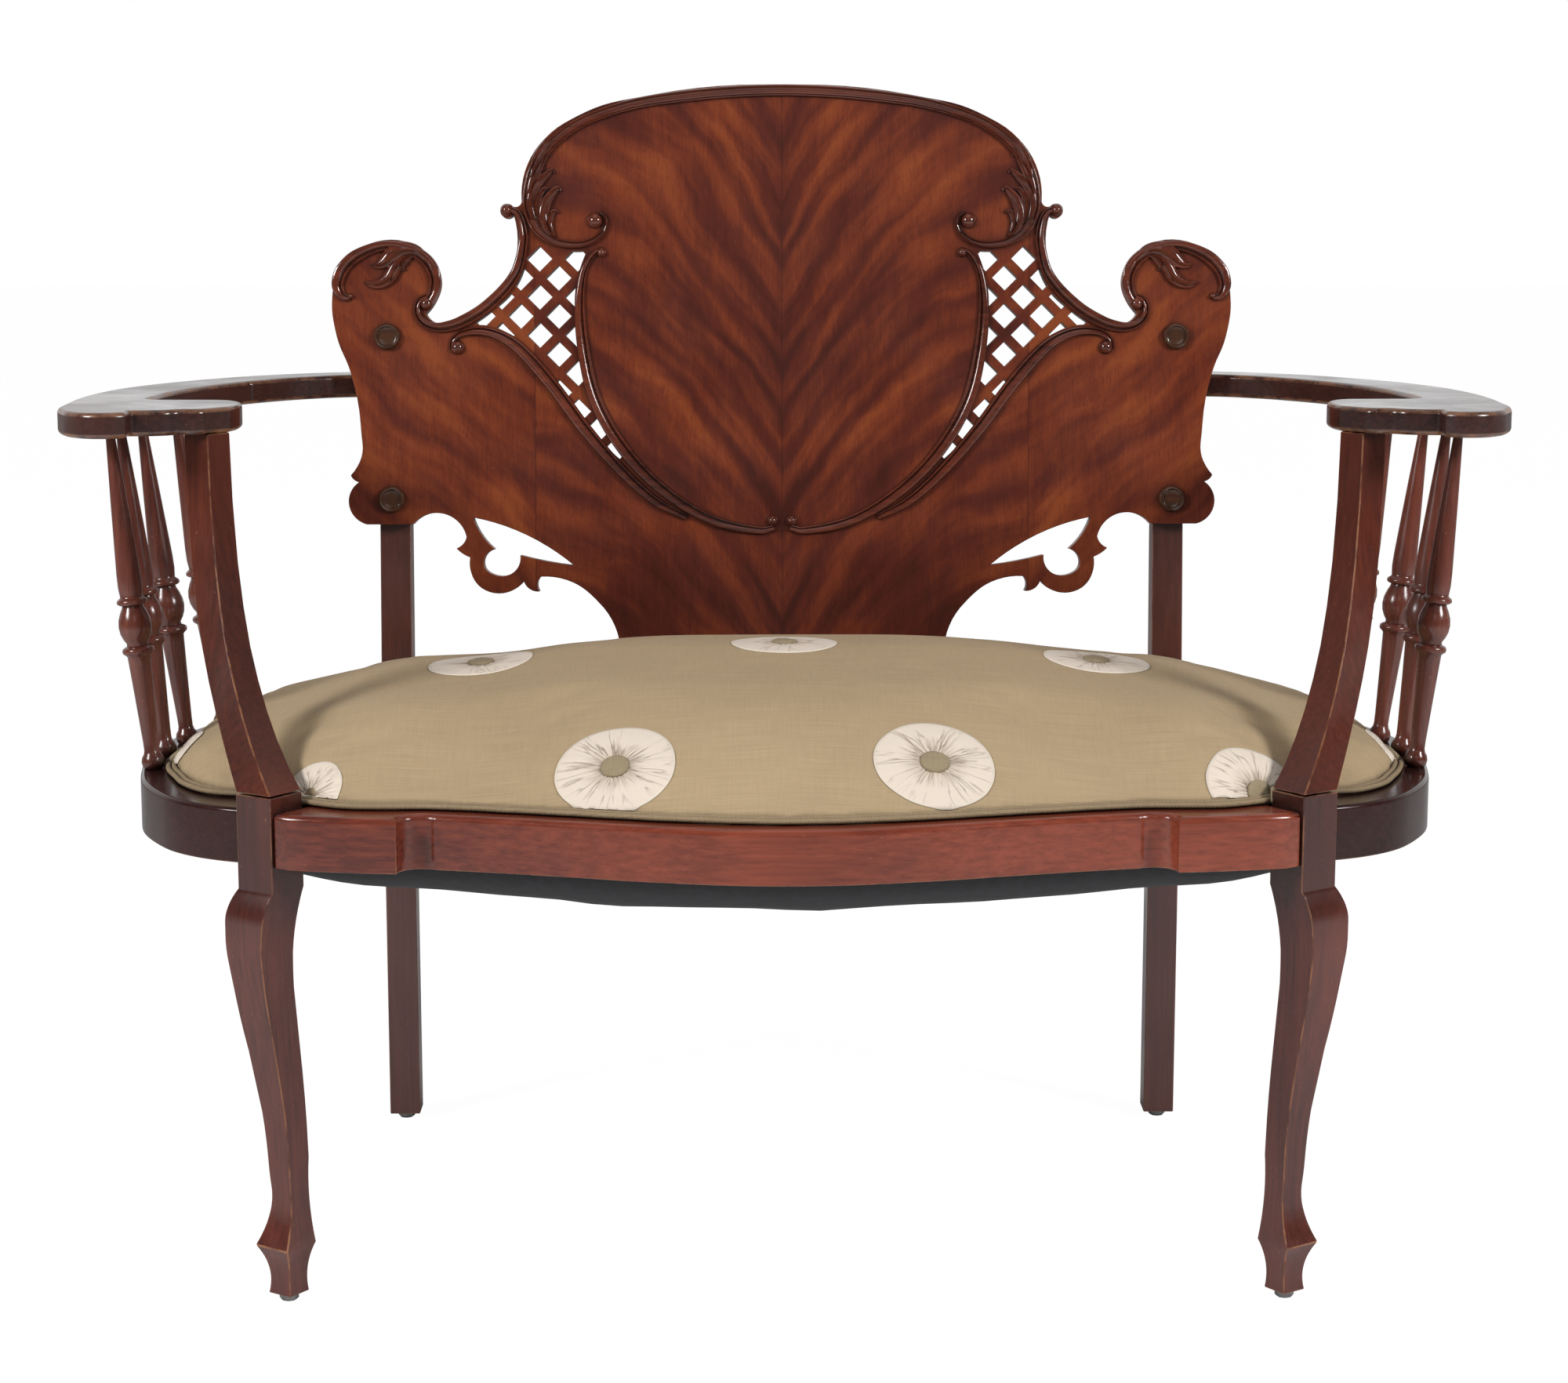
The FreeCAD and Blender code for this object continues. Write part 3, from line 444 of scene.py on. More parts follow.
def flame_material(name):
    """Bookmatched feather figure on the back board, with its three glued boards."""
    material, tree, surface = start_material(name)
    place = add(tree, "ShaderNodeTexCoord").outputs["Object"]
    parts = add(tree, "ShaderNodeSeparateXYZ", {0: place})
    across = maths(tree, "ABSOLUTE", parts.outputs[0])
    up = parts.outputs[2]
    side_board = maths(tree, "GREATER_THAN", across, 0.216)
    # the bands fall to the middle seam, ever more steeply, and evenly on the outer boards
    inner = maths(tree, "SUBTRACT", maths(tree, "MULTIPLY", across, 1.75),
                  maths(tree, "MULTIPLY", maths(tree, "MULTIPLY", across, across), 3.7))
    fall = add(tree, "ShaderNodeMix", {0: side_board, 2: inner, 3: maths(tree, "MULTIPLY", across, 0.85)}).outputs[0]
    sway = maths(tree, "MULTIPLY", maths(tree, "SUBTRACT", stretched_noise(tree, place, (9, 9, 9), 2), 0.5), 0.05)
    over = maths(tree, "ADD", maths(tree, "SUBTRACT", up, fall), sway)
    run = add(tree, "ShaderNodeCombineXYZ", {0: over, 1: maths(tree, "ADD", across, maths(tree, "MULTIPLY", up, 0.5)),
                                             2: side_board}).outputs[0]
    bands = stretched_noise(tree, run, (34, 7, 7), 1.5, 0.45, 0.25)
    mottle = stretched_noise(tree, run, (85, 22, 7), 3, 0.55, 0.5)
    clouds = stretched_noise(tree, run, (7, 5, 7), 2, 0.5)
    streaks = stretched_noise(tree, place, (150, 150, 9), 3, 0.55)
    fibres = stretched_noise(tree, place, (520, 520, 30), 4, 0.65)
    pores = remap(tree, stretched_noise(tree, place, (1100, 1100, 110), 2, 0.5), 0.6, 0.7)
    tone = maths(tree, "ADD", maths(tree, "MULTIPLY", bands, 0.5), maths(tree, "MULTIPLY", mottle, 0.16))
    tone = maths(tree, "ADD", tone, maths(tree, "MULTIPLY", clouds, 0.26))
    tone = maths(tree, "ADD", tone, maths(tree, "MULTIPLY", streaks, 0.1))
    tone = maths(tree, "ADD", tone, maths(tree, "MULTIPLY", fibres, 0.14))
    tone = maths(tree, "SUBTRACT", tone, remap(tree, across, 0.0, 0.06, 0.06, 0.0))
    tone = maths(tree, "ADD", tone, remap(tree, across, 0.14, 0.26, 0.0, 0.045))
    ramp = add(tree, "ShaderNodeValToRGB", {0: remap(tree, tone, 0.45, 0.72)})
    stops = [(0.0, (0.054, 0.0115, 0.0075, 1)), (0.38, (0.096, 0.0185, 0.01, 1)),
             (0.7, (0.16, 0.032, 0.012, 1)), (1.0, (0.22, 0.05, 0.0155, 1))]
    for index, (spot, colour) in enumerate(stops):
        point = ramp.color_ramp.elements[index] if index < 2 else ramp.color_ramp.elements.new(spot)
        point.position = spot
        point.color = colour
    colour = mix(tree, maths(tree, "MULTIPLY", pores, 0.4), ramp.outputs[0], (0.045, 0.012, 0.008, 1))
    middle = remap(tree, across, 0.0, 0.0012, 0.45, 0.0)
    seam = remap(tree, maths(tree, "ABSOLUTE", maths(tree, "SUBTRACT", across, 0.216)), 0.0, 0.0008, 0.6, 0.0)
    colour = mix(tree, maths(tree, "MAXIMUM", middle, seam), colour, (0.03, 0.009, 0.007, 1))
    # painted shade round the mouldings and in the cut-outs, where old polish has also gathered
    colour = recess_shade(tree, colour, 0.02, 0.8, (0.02, 0.007, 0.006, 1))
    worn = add(tree, "ShaderNodeGroup", node_tree=bpy.data.node_groups["Worn polish"])
    tree.links.new(colour, worn.inputs["Color"])
    worn.inputs["Wear"].default_value = 0.22
    worn.inputs["Roughness"].default_value = 0.34
    tree.links.new(worn.outputs["Color"], surface.inputs["Base Color"])
    tree.links.new(worn.outputs["Roughness"], surface.inputs["Roughness"])
    surface.inputs["Specular IOR Level"].default_value = 0.2
    bump = add(tree, "ShaderNodeBump", {"Height": fibres, "Strength": 0.12, "Distance": 0.0002})
    tree.links.new(bump.outputs[0], surface.inputs["Normal"])
    return material


def cloth_material(name, colour, shadow, pitch=0.0011):
    """Plain-woven upholstery cloth with slubs, a little soiling, and painted shade where its threads dip and in its
    creases.
    """
    material, tree, surface = start_material(name)
    place = add(tree, "ShaderNodeTexCoord").outputs["Object"]
    parts = add(tree, "ShaderNodeSeparateXYZ", {0: place})
    down = maths(tree, "ADD", parts.outputs[1], maths(tree, "MULTIPLY", parts.outputs[2], 0.8))
    flat = add(tree, "ShaderNodeCombineXYZ", {0: parts.outputs[0], 1: down, 2: 0.0}).outputs[0]
    weave = add(tree, "ShaderNodeGroup", node_tree=bpy.data.node_groups["Weave"])
    tree.links.new(flat, weave.inputs["Vector"])
    weave.inputs["Pitch"].default_value = pitch
    soil = stretched_noise(tree, place, (5, 5, 5), 4, 0.6)
    # slubs and soiling move the cloth towards its darker colour; the weave's height adds a little painted shade where
    # threads dip
    tone = maths(tree, "ADD", maths(tree, "MULTIPLY", weave.outputs["Tone"], 0.7),
                 maths(tree, "MULTIPLY", soil, 0.3))
    tone = maths(tree, "ADD", tone, maths(tree, "MULTIPLY", weave.outputs["Height"], 0.05))
    mixed = mix(tree, remap(tree, tone, 0.34, 0.64), shadow, colour)
    # painted shade in the cloth's creases and recesses
    mixed = recess_shade(tree, mixed, 0.006, 0.5, tuple(c * 0.35 for c in shadow[:3]) + (1,))
    tree.links.new(mixed, surface.inputs["Base Color"])
    surface.inputs["Roughness"].default_value = 0.82
    surface.inputs["Sheen Weight"].default_value = 0.04
    surface.inputs["Sheen Roughness"].default_value = 0.4
    surface.inputs["Specular IOR Level"].default_value = 0.3
    bump = add(tree, "ShaderNodeBump", {"Height": weave.outputs["Height"], "Strength": 0.35,
                                        "Distance": 0.0003})
    tree.links.new(bump.outputs[0], surface.inputs["Normal"])
    return material


def silk_material(name):
    """Cream silk drawn in fine creases towards a button and browned near it, with painted shade along the creases and
    a pale rim.
    """
    material, tree, surface = start_material(name)
    ray = add(tree, "ShaderNodeAttribute", attribute_name="ray").outputs["Vector"]
    reach = add(tree, "ShaderNodeAttribute", attribute_name="reach").outputs["Fac"]
    long_noise = stretched_noise(tree, ray, (4.6, 4.6, 0.8), 2, 0.5)
    short_noise = stretched_noise(tree, ray, (10, 10, 1.4), 2, 0.5)
    patches = stretched_noise(tree, ray, (1.6, 1.6, 2.2), 2, 0.5)
    lines = []
    for creases, thin, fades_at in ((long_noise, 0.03, 1.15), (short_noise, 0.05, 0.62)):
        near = maths(tree, "ABSOLUTE", maths(tree, "SUBTRACT", creases, 0.5))
        line = remap(tree, near, 0.0, thin, 1.0, 0.0)
        lines.append(maths(tree, "MULTIPLY", line, remap(tree, reach, fades_at * 0.45, fades_at, 1.0, 0.0)))
    # the crease lines, broken up in patches, darken the silk as painted shade along its creases
    crease = maths(tree, "MULTIPLY", lines[0], remap(tree, patches, 0.36, 0.56))
    crease = maths(tree, "MAXIMUM", crease, maths(tree, "MULTIPLY", lines[1], 0.8))
    colour = mix(tree, remap(tree, reach, 0.2, 0.55, 0.4, 0.0), (0.76, 0.655, 0.55, 1), (0.5, 0.385, 0.27, 1))
    colour = mix(tree, maths(tree, "MULTIPLY", crease, 0.85), colour, (0.24, 0.165, 0.105, 1))
    colour = mix(tree, remap(tree, reach, 0.965, 0.98), colour, (0.84, 0.75, 0.63, 1))
    tree.links.new(colour, surface.inputs["Base Color"])
    surface.inputs["Roughness"].default_value = 0.55
    surface.inputs["Sheen Weight"].default_value = 0.1
    surface.inputs["Specular IOR Level"].default_value = 0.3
    height = maths(tree, "SUBTRACT", maths(tree, "MULTIPLY", long_noise, 0.4), crease)
    bump = add(tree, "ShaderNodeBump", {"Height": height, "Strength": 0.7, "Distance": 0.001})
    tree.links.new(bump.outputs[0], surface.inputs["Normal"])
    return material


def plain_material(name, colour, rough, metallic=0.0, mark=None):
    """A hidden or dull part's finish with mottled tone."""
    material, tree, surface = start_material(name)
    place = add(tree, "ShaderNodeTexCoord").outputs["Object"]
    mottle = stretched_noise(tree, place, (120, 120, 120), 4, 0.6)
    darker = tuple(c * 0.55 for c in colour[:3]) + (1,)
    mixed = mix(tree, remap(tree, mottle, 0.35, 0.65), darker, mark or colour)
    tree.links.new(mixed, surface.inputs["Base Color"])
    tree.links.new(remap(tree, mottle, 0.3, 0.7, rough - 0.06, rough + 0.06), surface.inputs["Roughness"])
    surface.inputs["Metallic"].default_value = metallic
    bump = add(tree, "ShaderNodeBump", {"Height": mottle, "Strength": 0.2, "Distance": 0.0004})
    tree.links.new(bump.outputs[0], surface.inputs["Normal"])
    return material


MATERIALS = {}


def make_materials():
    straight_grain_group()
    worn_polish_group()
    weave_group()
    along_x = (0, math.radians(90), 0)
    along_y = (math.radians(90), 0, 0)
    woods = {
        "leg": ("Leg mahogany", (0.046, 0.0115, 0.009, 1), (0.14, 0.031, 0.019, 1), (0, 0, 0), 0.75, 0.27, 0.5),
        "support": ("Support mahogany", (0.044, 0.0095, 0.006, 1), (0.112, 0.0225, 0.0105, 1), (0, 0, 0), 0.8, 0.3, 0.3),
        "post": ("Post mahogany", (0.058, 0.017, 0.013, 1), (0.13, 0.035, 0.023, 1), (0, 0, 0), 0.5, 0.32, 0.8),
        "rail": ("Rail mahogany", (0.085, 0.0165, 0.0105, 1), (0.255, 0.053, 0.026, 1), along_x, 0.5, 0.2, 0.45),
        "side rail": ("Side rail mahogany", (0.016, 0.006, 0.0055, 1), (0.04, 0.0135, 0.011, 1), along_y, 0.5, 0.17, 0.22),
        "arm": ("Arm mahogany", (0.022, 0.0095, 0.0085, 1), (0.066, 0.023, 0.017, 1), along_y, 0.55, 0.18, 0.7),
        "carved": ("Carved mahogany", (0.036, 0.0105, 0.0075, 1), (0.15, 0.033, 0.016, 1), along_x, 0.15, 0.13, 0.6),
        "turned": ("Turned mahogany", (0.045, 0.014, 0.011, 1), (0.16, 0.042, 0.026, 1), (0, 0, 0), 0.6, 0.22, 0.5),
        "button": ("Button wood", (0.034, 0.015, 0.008, 1), (0.1, 0.039, 0.019, 1), along_x, 0.1, 0.14, 0.6),
        "block": ("Block wood", (0.12, 0.06, 0.03, 1), (0.28, 0.16, 0.08, 1), along_x, 0.1, 0.6, 0.5),
    }
    MATERIALS["board"] = flame_material("Flame mahogany")
    for finish, (name, dark, light, turn, wear, gloss, shine) in woods.items():
        # how far the painted shade in corners reaches
        reach = 0.006 if finish in ("carved", "button") else 0.012
        MATERIALS[finish] = wood_material(name, dark, light, turn, wear, gloss, shine, reach,
                                          darkened_above=0.285 if finish == "leg" else None)
    MATERIALS["cloth"] = cloth_material("Khaki cloth", (0.48, 0.355, 0.21, 1), (0.36, 0.262, 0.152, 1))
    MATERIALS["welt"] = cloth_material("Khaki welt", (0.36, 0.265, 0.155, 1), (0.22, 0.16, 0.095, 1), 0.0014)
    MATERIALS["button cloth"] = cloth_material("Button cloth", (0.36, 0.29, 0.18, 1), (0.24, 0.185, 0.115, 1))
    MATERIALS["silk"] = silk_material("Cream silk")
    MATERIALS["cambric"] = plain_material("Black cambric", (0.03, 0.031, 0.034, 1), 0.85)
    MATERIALS["webbing"] = plain_material("Jute webbing", (0.26, 0.18, 0.09, 1), 0.9)
    MATERIALS["stuffing"] = plain_material("Stuffing", (0.4, 0.35, 0.27, 1), 0.95)
    MATERIALS["glide"] = plain_material("Glide steel", (0.3, 0.29, 0.28, 1), 0.4, 0.9)


def dress_cad_pieces():
    """Gives each CAD piece that stays in sight its finish."""
    finishes = {"corner_blocks": "block", "seat_filling": "stuffing", "seat_webbing": "webbing",
                "foot_glides": "glide"}
    for node, finish in finishes.items():
        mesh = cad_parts[node].data
        mesh.materials.clear()
        mesh.materials.append(MATERIALS[finish])


# The settee's pieces

class BackProps(PropertyGroup):
    board_ease: FloatProperty(name="Board edge", description="Width of the eased edge of the board",
                              default=0.0007, unit="LENGTH")
    moulding_height: FloatProperty(name="Moulding height", description="How far the mouldings stand out",
                                   default=0.0042, unit="LENGTH")


class FrameProps(PropertyGroup):
    leg_ease: FloatProperty(name="Leg arris", description="Width of the eased arris of legs and posts",
                            default=0.0011, unit="LENGTH")
    rail_ease: FloatProperty(name="Rail arris", description="Width of the eased lower arris of the rails",
                             default=0.0012, unit="LENGTH")
    nosing: FloatProperty(name="Nosing", description="Width of the rounded top edge of the rails",
                          default=0.0048, unit="LENGTH")
    arm_ease: FloatProperty(name="Arm edge", description="Width of the rounded edge of the arms",
                            default=0.0038, unit="LENGTH")


class SeatProps(PropertyGroup):
    rosette_radius: FloatProperty(name="Rosette radius", description="Radius of each silk rosette",
                                  default=0.047, unit="LENGTH")
    pleats: IntProperty(name="Pleats", description="Number of soft pleats in each rosette", default=17)
    welt_radius: FloatProperty(name="Welt radius", description="Radius of each cord of the double welt",
                               default=0.0022, unit="LENGTH")
    swell: FloatProperty(name="Swell", description="Most that the stuffing moves the cover",
                         default=0.0045, unit="LENGTH")
    end_fill: FloatProperty(name="End fullness", description="Height added near the ends of the seat",
                            default=0.0125, unit="LENGTH")
    corner_fill: FloatProperty(name="Corner fullness", description="Height added behind the front corners",
                               default=0.008, unit="LENGTH")


class StageProps(PropertyGroup):
    backdrop: FloatVectorProperty(name="Backdrop", description="Colour of the floor and backdrop",
                                  default=(0.97, 0.97, 0.97), size=3, subtype="COLOR")


# Sections as (across, height), the outer side first: a low broad roll, a groove and a thin
# bead; the crest's thin roll, shallow cove and bead; a plain roll; a leaf with a midrib
ROLL_AND_BEAD = [(-1, -0.1), (-0.99, 0.5), (-0.9, 0.82), (-0.7, 0.97), (-0.4, 1.0), (-0.1, 0.93),
                 (0.16, 0.74), (0.3, 0.5), (0.36, 0.3), (0.43, 0.28), (0.5, 0.5), (0.62, 0.68),
                 (0.8, 0.66), (0.94, 0.45), (1, -0.1)]
CREST = [(-1, -0.1), (-0.99, 0.55), (-0.9, 0.9), (-0.74, 1.0), (-0.58, 0.86), (-0.5, 0.6), (-0.34, 0.46),
         (0.0, 0.4), (0.36, 0.5), (0.52, 0.66), (0.6, 0.52), (0.66, 0.64), (0.8, 0.72), (0.94, 0.5), (1, -0.1)]
ROLL = [(-1, -0.1), (-0.92, 0.5), (-0.62, 0.87), (-0.2, 1.0), (0.2, 1.0), (0.62, 0.87), (0.92, 0.5),
        (1, -0.1)]
LEAF = [(-1, -0.12), (-0.97, 0.3), (-0.86, 0.52), (-0.62, 0.5), (-0.34, 0.6), (-0.12, 0.9), (0, 1.0),
        (0.12, 0.9), (0.34, 0.6), (0.62, 0.5), (0.86, 0.52), (0.97, 0.3), (1, -0.12)]


def flipped(profile):
    return [(-across, height) for across, height in reversed(profile)]


def carve(bm, points, widths, heights, profile=ROLL, step=3.0):
    """A carved run over the face of the board, from points in its own millimetres."""
    path = smooth_path([(u, v, 0) for u, v in points], step)
    places = [BOARD @ place for place in stations_along(path, widths, heights)]
    sweep(bm, profile, places)


def add_ball(bm, u, v, radius, height, sink=0.35):
    """A turned ball or eye standing half out of the board."""
    arc = [(radius * math.cos(a), height * ((1 + sink) * math.sin(a) - sink))
           for a in [math.radians(d) for d in (0, 15, 30, 45, 60, 75, 90)]]
    profile = [(radius, -0.6)] + arc[:-1] + [(0, arc[-1][1])]
    add_turning(bm, profile, BOARD @ Matrix.Translation((u, v, 0)), 20)


class SETTEE_OT_board(Operator):
    """Back board, sawn and pierced from three glued boards"""
    bl_idname = "settee.board"
    bl_label = "Back board"

    def execute(self, context):
        ease = context.scene.settee_back.board_ease
        bm = eased_copy("back_splat", ease, 2, 40)
        piece = finish_piece("board", bm, MATERIALS["board"], ["back_splat"], 35, False)
        weigh_normals(piece)
        return {"FINISHED"}


class SETTEE_OT_mouldings(Operator):
    """Carved mouldings that edge the crest, wings, lattices and middle panel"""
    bl_idname = "settee.mouldings"
    bl_label = "Mouldings"

    def execute(self, context):
        high = context.scene.settee_back.moulding_height * 1000
        crest = bmesh.new()
        half = [(-159, 428.5), (-155, 425), (-153.7, 418), (-157.5, 409.5), (-167, 403), (-180, 400.5),
                (-197, 403), (-211.5, 412), (-219.5, 427), (-220.5, 445), (-214.5, 467.5), (-198.5, 489.5),
                (-168, 509.5), (-110, 525.5), (0, 534)]
        line = half + [(-u, v) for u, v in reversed(half[:-1])]
        widths = [3, 5, 7, 9.5, 10.5, 10, 9.5, 9.5, 10, 10.5, 10.5, 10.5]
        carve(crest, line, widths + widths[::-1], [high * 0.8] + [high] * 5 + [high * 0.8], flipped(CREST))
        for side in (-1, 1):
            add_ball(crest, 163 * side, 421.5, 7.4, high + 1.6)
        finish_piece("crest_roll", crest, MATERIALS["carved"], ["crest_moulding"])

        runs = {
            "wing_rolls": ("wing_mouldings", flipped(ROLL_AND_BEAD),
                           [(-377, 355.5), (-381.5, 355), (-385.5, 359), (-387.6, 367), (-383.5, 379),
                            (-370, 391.5), (-347, 399.5), (-325, 396.5), (-310, 387), (-303, 374), (-303.8, 361),
                            (-308.5, 351.5)],
                           [4, 9, 10.5, 10.5, 9, 8, 8.5, 10, 10.5, 9, 8], [(-376.5, 356, 3.0), (-310.5, 349.6, 6.2)]),
            "cove_rolls": ("cove_mouldings", ROLL_AND_BEAD,
                           [(-238, 431.5), (-231, 429), (-226.5, 418), (-225.5, 403), (-233, 374.5), (-256, 348.5),
                            (-280, 333.5), (-298, 328.8), (-310, 331.5), (-317.3, 338.5), (-318.6, 347),
                            (-315, 354), (-309.5, 356)],
                           [4, 6.5, 7.5, 8.5, 9, 9.5, 10, 10, 9, 6.5, 5, 3.5], [(-240, 430.8, 5.6)]),
            "oval_rolls": ("oval_mouldings", ROLL_AND_BEAD,
                           [(-160, 396), (-167, 389), (-173.5, 375), (-176.5, 345), (-173, 306), (-164, 268),
                            (-146, 233), (-119, 200), (-85, 173), (-54, 158), (-18, 151.5), (-7, 154)],
                           [3.5, 6, 8.5, 9.5, 10, 10, 10, 9.5, 9, 8.5, 7.5, 5], [(-157.5, 394, 4.8),
                                                                                (-8.5, 160, 5.2)]),
            "shoulder_rolls": ("shoulder_mouldings", ROLL_AND_BEAD,
                               [(-289, 310), (-287.5, 318), (-279, 324), (-263, 326), (-246, 321.5), (-229, 310.5),
                                (-201, 279), (-172, 240), (-140, 203), (-111, 177), (-84, 163)],
                               [3, 7, 9, 10, 10, 10, 9.5, 8.5, 7.5, 5], [(-283.5, 311.5, 6.6)]),
        }
        for name, (node, profile, points, widths, balls) in runs.items():
            bm = bmesh.new()
            carve(bm, points, [width * 1.12 for width in widths], [high * 0.7] + [high] * 6 + [high * 0.7], profile)
            for u, v, radius in balls:
                add_ball(bm, u, v, radius, high + radius * 0.2)
            mirror_across(bm)
            finish_piece(name, bm, MATERIALS["carved"], [node])
        return {"FINISHED"}


class SETTEE_OT_leaves(Operator):
    """Small carved acanthus leaves on the crest shoulders and in the wing scrolls"""
    bl_idname = "settee.leaves"
    bl_label = "Carved leaves"

    # each blade runs from its root to its tip: places, then widths and heights along it
    CREST_BLADES = [
        ([(-198, 408), (-204.5, 414), (-208, 426), (-206, 436), (-201, 444), (-195, 450), (-192.5, 447)],
         [5, 8, 10.5, 11.5, 9.5, 6.5, 2.2], [3.5, 5.2, 6.4, 6.2, 5.4, 4.4, 2.4]),
        ([(-199.5, 410), (-202.8, 419), (-201.6, 426), (-198, 429.6), (-193.6, 428.4)],
         [4, 7, 8, 6, 2], [3, 4.8, 5, 4, 2]),
        ([(-211, 421), (-214, 433), (-212.5, 442), (-207, 449), (-203.2, 449)],
         [4, 8.5, 9.5, 6.5, 2], [3, 4.6, 5.2, 4.2, 2]),
        ([(-216.5, 423), (-219, 434), (-218, 444), (-213.5, 453.5), (-206, 460.5), (-199.8, 465.2), (-197.8, 462.5)],
         [6, 8, 9.5, 11, 9.5, 6, 2], [4.6, 5.6, 6.2, 6, 5, 4, 2.2]),
        ([(-219.5, 438), (-218.5, 450), (-215, 461), (-209.5, 471), (-203.2, 479.5), (-201.4, 477)],
         [6, 9, 10.5, 9, 5.5, 2], [5, 5.8, 5.8, 4.8, 3.8, 2]),
        ([(-217.5, 458), (-214, 471), (-209.5, 481), (-204, 489), (-198.5, 493)],
         [6, 9.5, 10, 7.5, 3], [5, 5.6, 5.2, 4.6, 3.6]),
    ]
    WING_BLADES = [
        ([(-309, 388), (-319, 395.5), (-330, 396.5), (-339.5, 391.5), (-346.5, 385.5), (-353, 382.4), (-358.5, 383.8)],
         [6, 9, 13, 18, 16, 8, 2], [4.4, 4.8, 5.6, 6.8, 6, 4, 2.4]),
        ([(-322, 392), (-330.5, 388.5), (-337.5, 380.5), (-342, 372.8), (-349, 367.4), (-357, 366), (-364, 368.4)],
         [5, 9, 12, 12, 10.5, 7.5, 2], [4.6, 5.8, 6.6, 6.2, 5.4, 4, 2.4]),
        ([(-324, 391.5), (-330, 386), (-332.2, 381), (-328, 378.6)], [5, 9, 8, 2], [4.4, 5.4, 4.8, 2.4]),
        ([(-338, 378), (-340.4, 371), (-344, 366.4)], [5, 8, 2], [4, 4.6, 2.4]),
    ]

    def execute(self, context):
        for name, blades in (("crest_leaves", self.CREST_BLADES), ("wing_leaves", self.WING_BLADES)):
            bm = bmesh.new()
            for points, widths, heights in blades:
                carve(bm, points, widths, heights, LEAF, 1.5)
            mirror_across(bm)
            finish_piece(name, bm, MATERIALS["carved"], smooth_below=50)
        return {"FINISHED"}


class SETTEE_OT_buttons(Operator):
    """Turned wooden buttons over the fixings of the board"""
    bl_idname = "settee.buttons"
    bl_label = "Splat buttons"

    def execute(self, context):
        bm = bmesh.new()
        profile = [(11.3, -0.2), (11.4, 2.0), (11.2, 3.4), (10.6, 4.6), (9.7, 5.3), (8.8, 5.1), (8.3, 4.3),
                   (8.0, 3.4), (7.2, 3.1), (4.0, 3.0), (0, 3.0)]
        for u, v in ((345, 321), (342, 179)):
            for side in (-1, 1):
                add_turning(bm, profile, BOARD @ Matrix.Translation((u * side, v, 0)), 32)
        finish_piece("splat_caps", bm, MATERIALS["button"], ["splat_buttons"])
        return {"FINISHED"}


class SETTEE_OT_frame(Operator):
    """Seat rails, legs, posts and arm supports with eased arrises"""
    bl_idname = "settee.frame"
    bl_label = "Legs and rails"

    def execute(self, context):
        sizes = context.scene.settee_frame
        joints = block_joints()
        kinds = [("front_leg", "leg", sizes.leg_ease, False), ("rear_post", "post", sizes.leg_ease, False),
                 ("arm_support", "support", sizes.leg_ease, False),
                 ("side_rail", "side rail", sizes.rail_ease, True)]
        pieces = [("%s_%s" % (kind, side), finish, ease, level)
                  for kind, finish, ease, level in kinds for side in ("left", "right")]
        pieces += [("front_rail", "rail", sizes.rail_ease, False), ("rear_rail", "post", sizes.rail_ease, True)]
        for node, finish, ease, level in pieces:
            on_rail = "rail" in node
            bm = eased_copy(node, ease, 3, joints=joints if on_rail else (),
                            sockets=SPINDLE_FEET if node.startswith("side_rail") else (), level=level,
                            top=sizes.nosing * (0.7 if "side" in node else 1) if on_rail else None)
            piece = finish_piece(node + "_eased", bm, MATERIALS[finish], [node], 35, False)
            weigh_normals(piece)
        return {"FINISHED"}


class SETTEE_OT_arms(Operator):
    """Arms of three boards each with rounded edges"""
    bl_idname = "settee.arms"
    bl_label = "Arms"

    def execute(self, context):
        ease = context.scene.settee_frame.arm_ease
        for part in ("front", "middle", "rear"):
            for side in ("left", "right"):
                node = "arm_%s_%s" % (part, side)
                bm = eased_copy(node, ease, 4, 50, arm_joints(), SPINDLE_TOPS[2:], True)
                piece = finish_piece(node + "_eased", bm, MATERIALS["arm"], [node], 35, False)
                weigh_normals(piece)
        return {"FINISHED"}


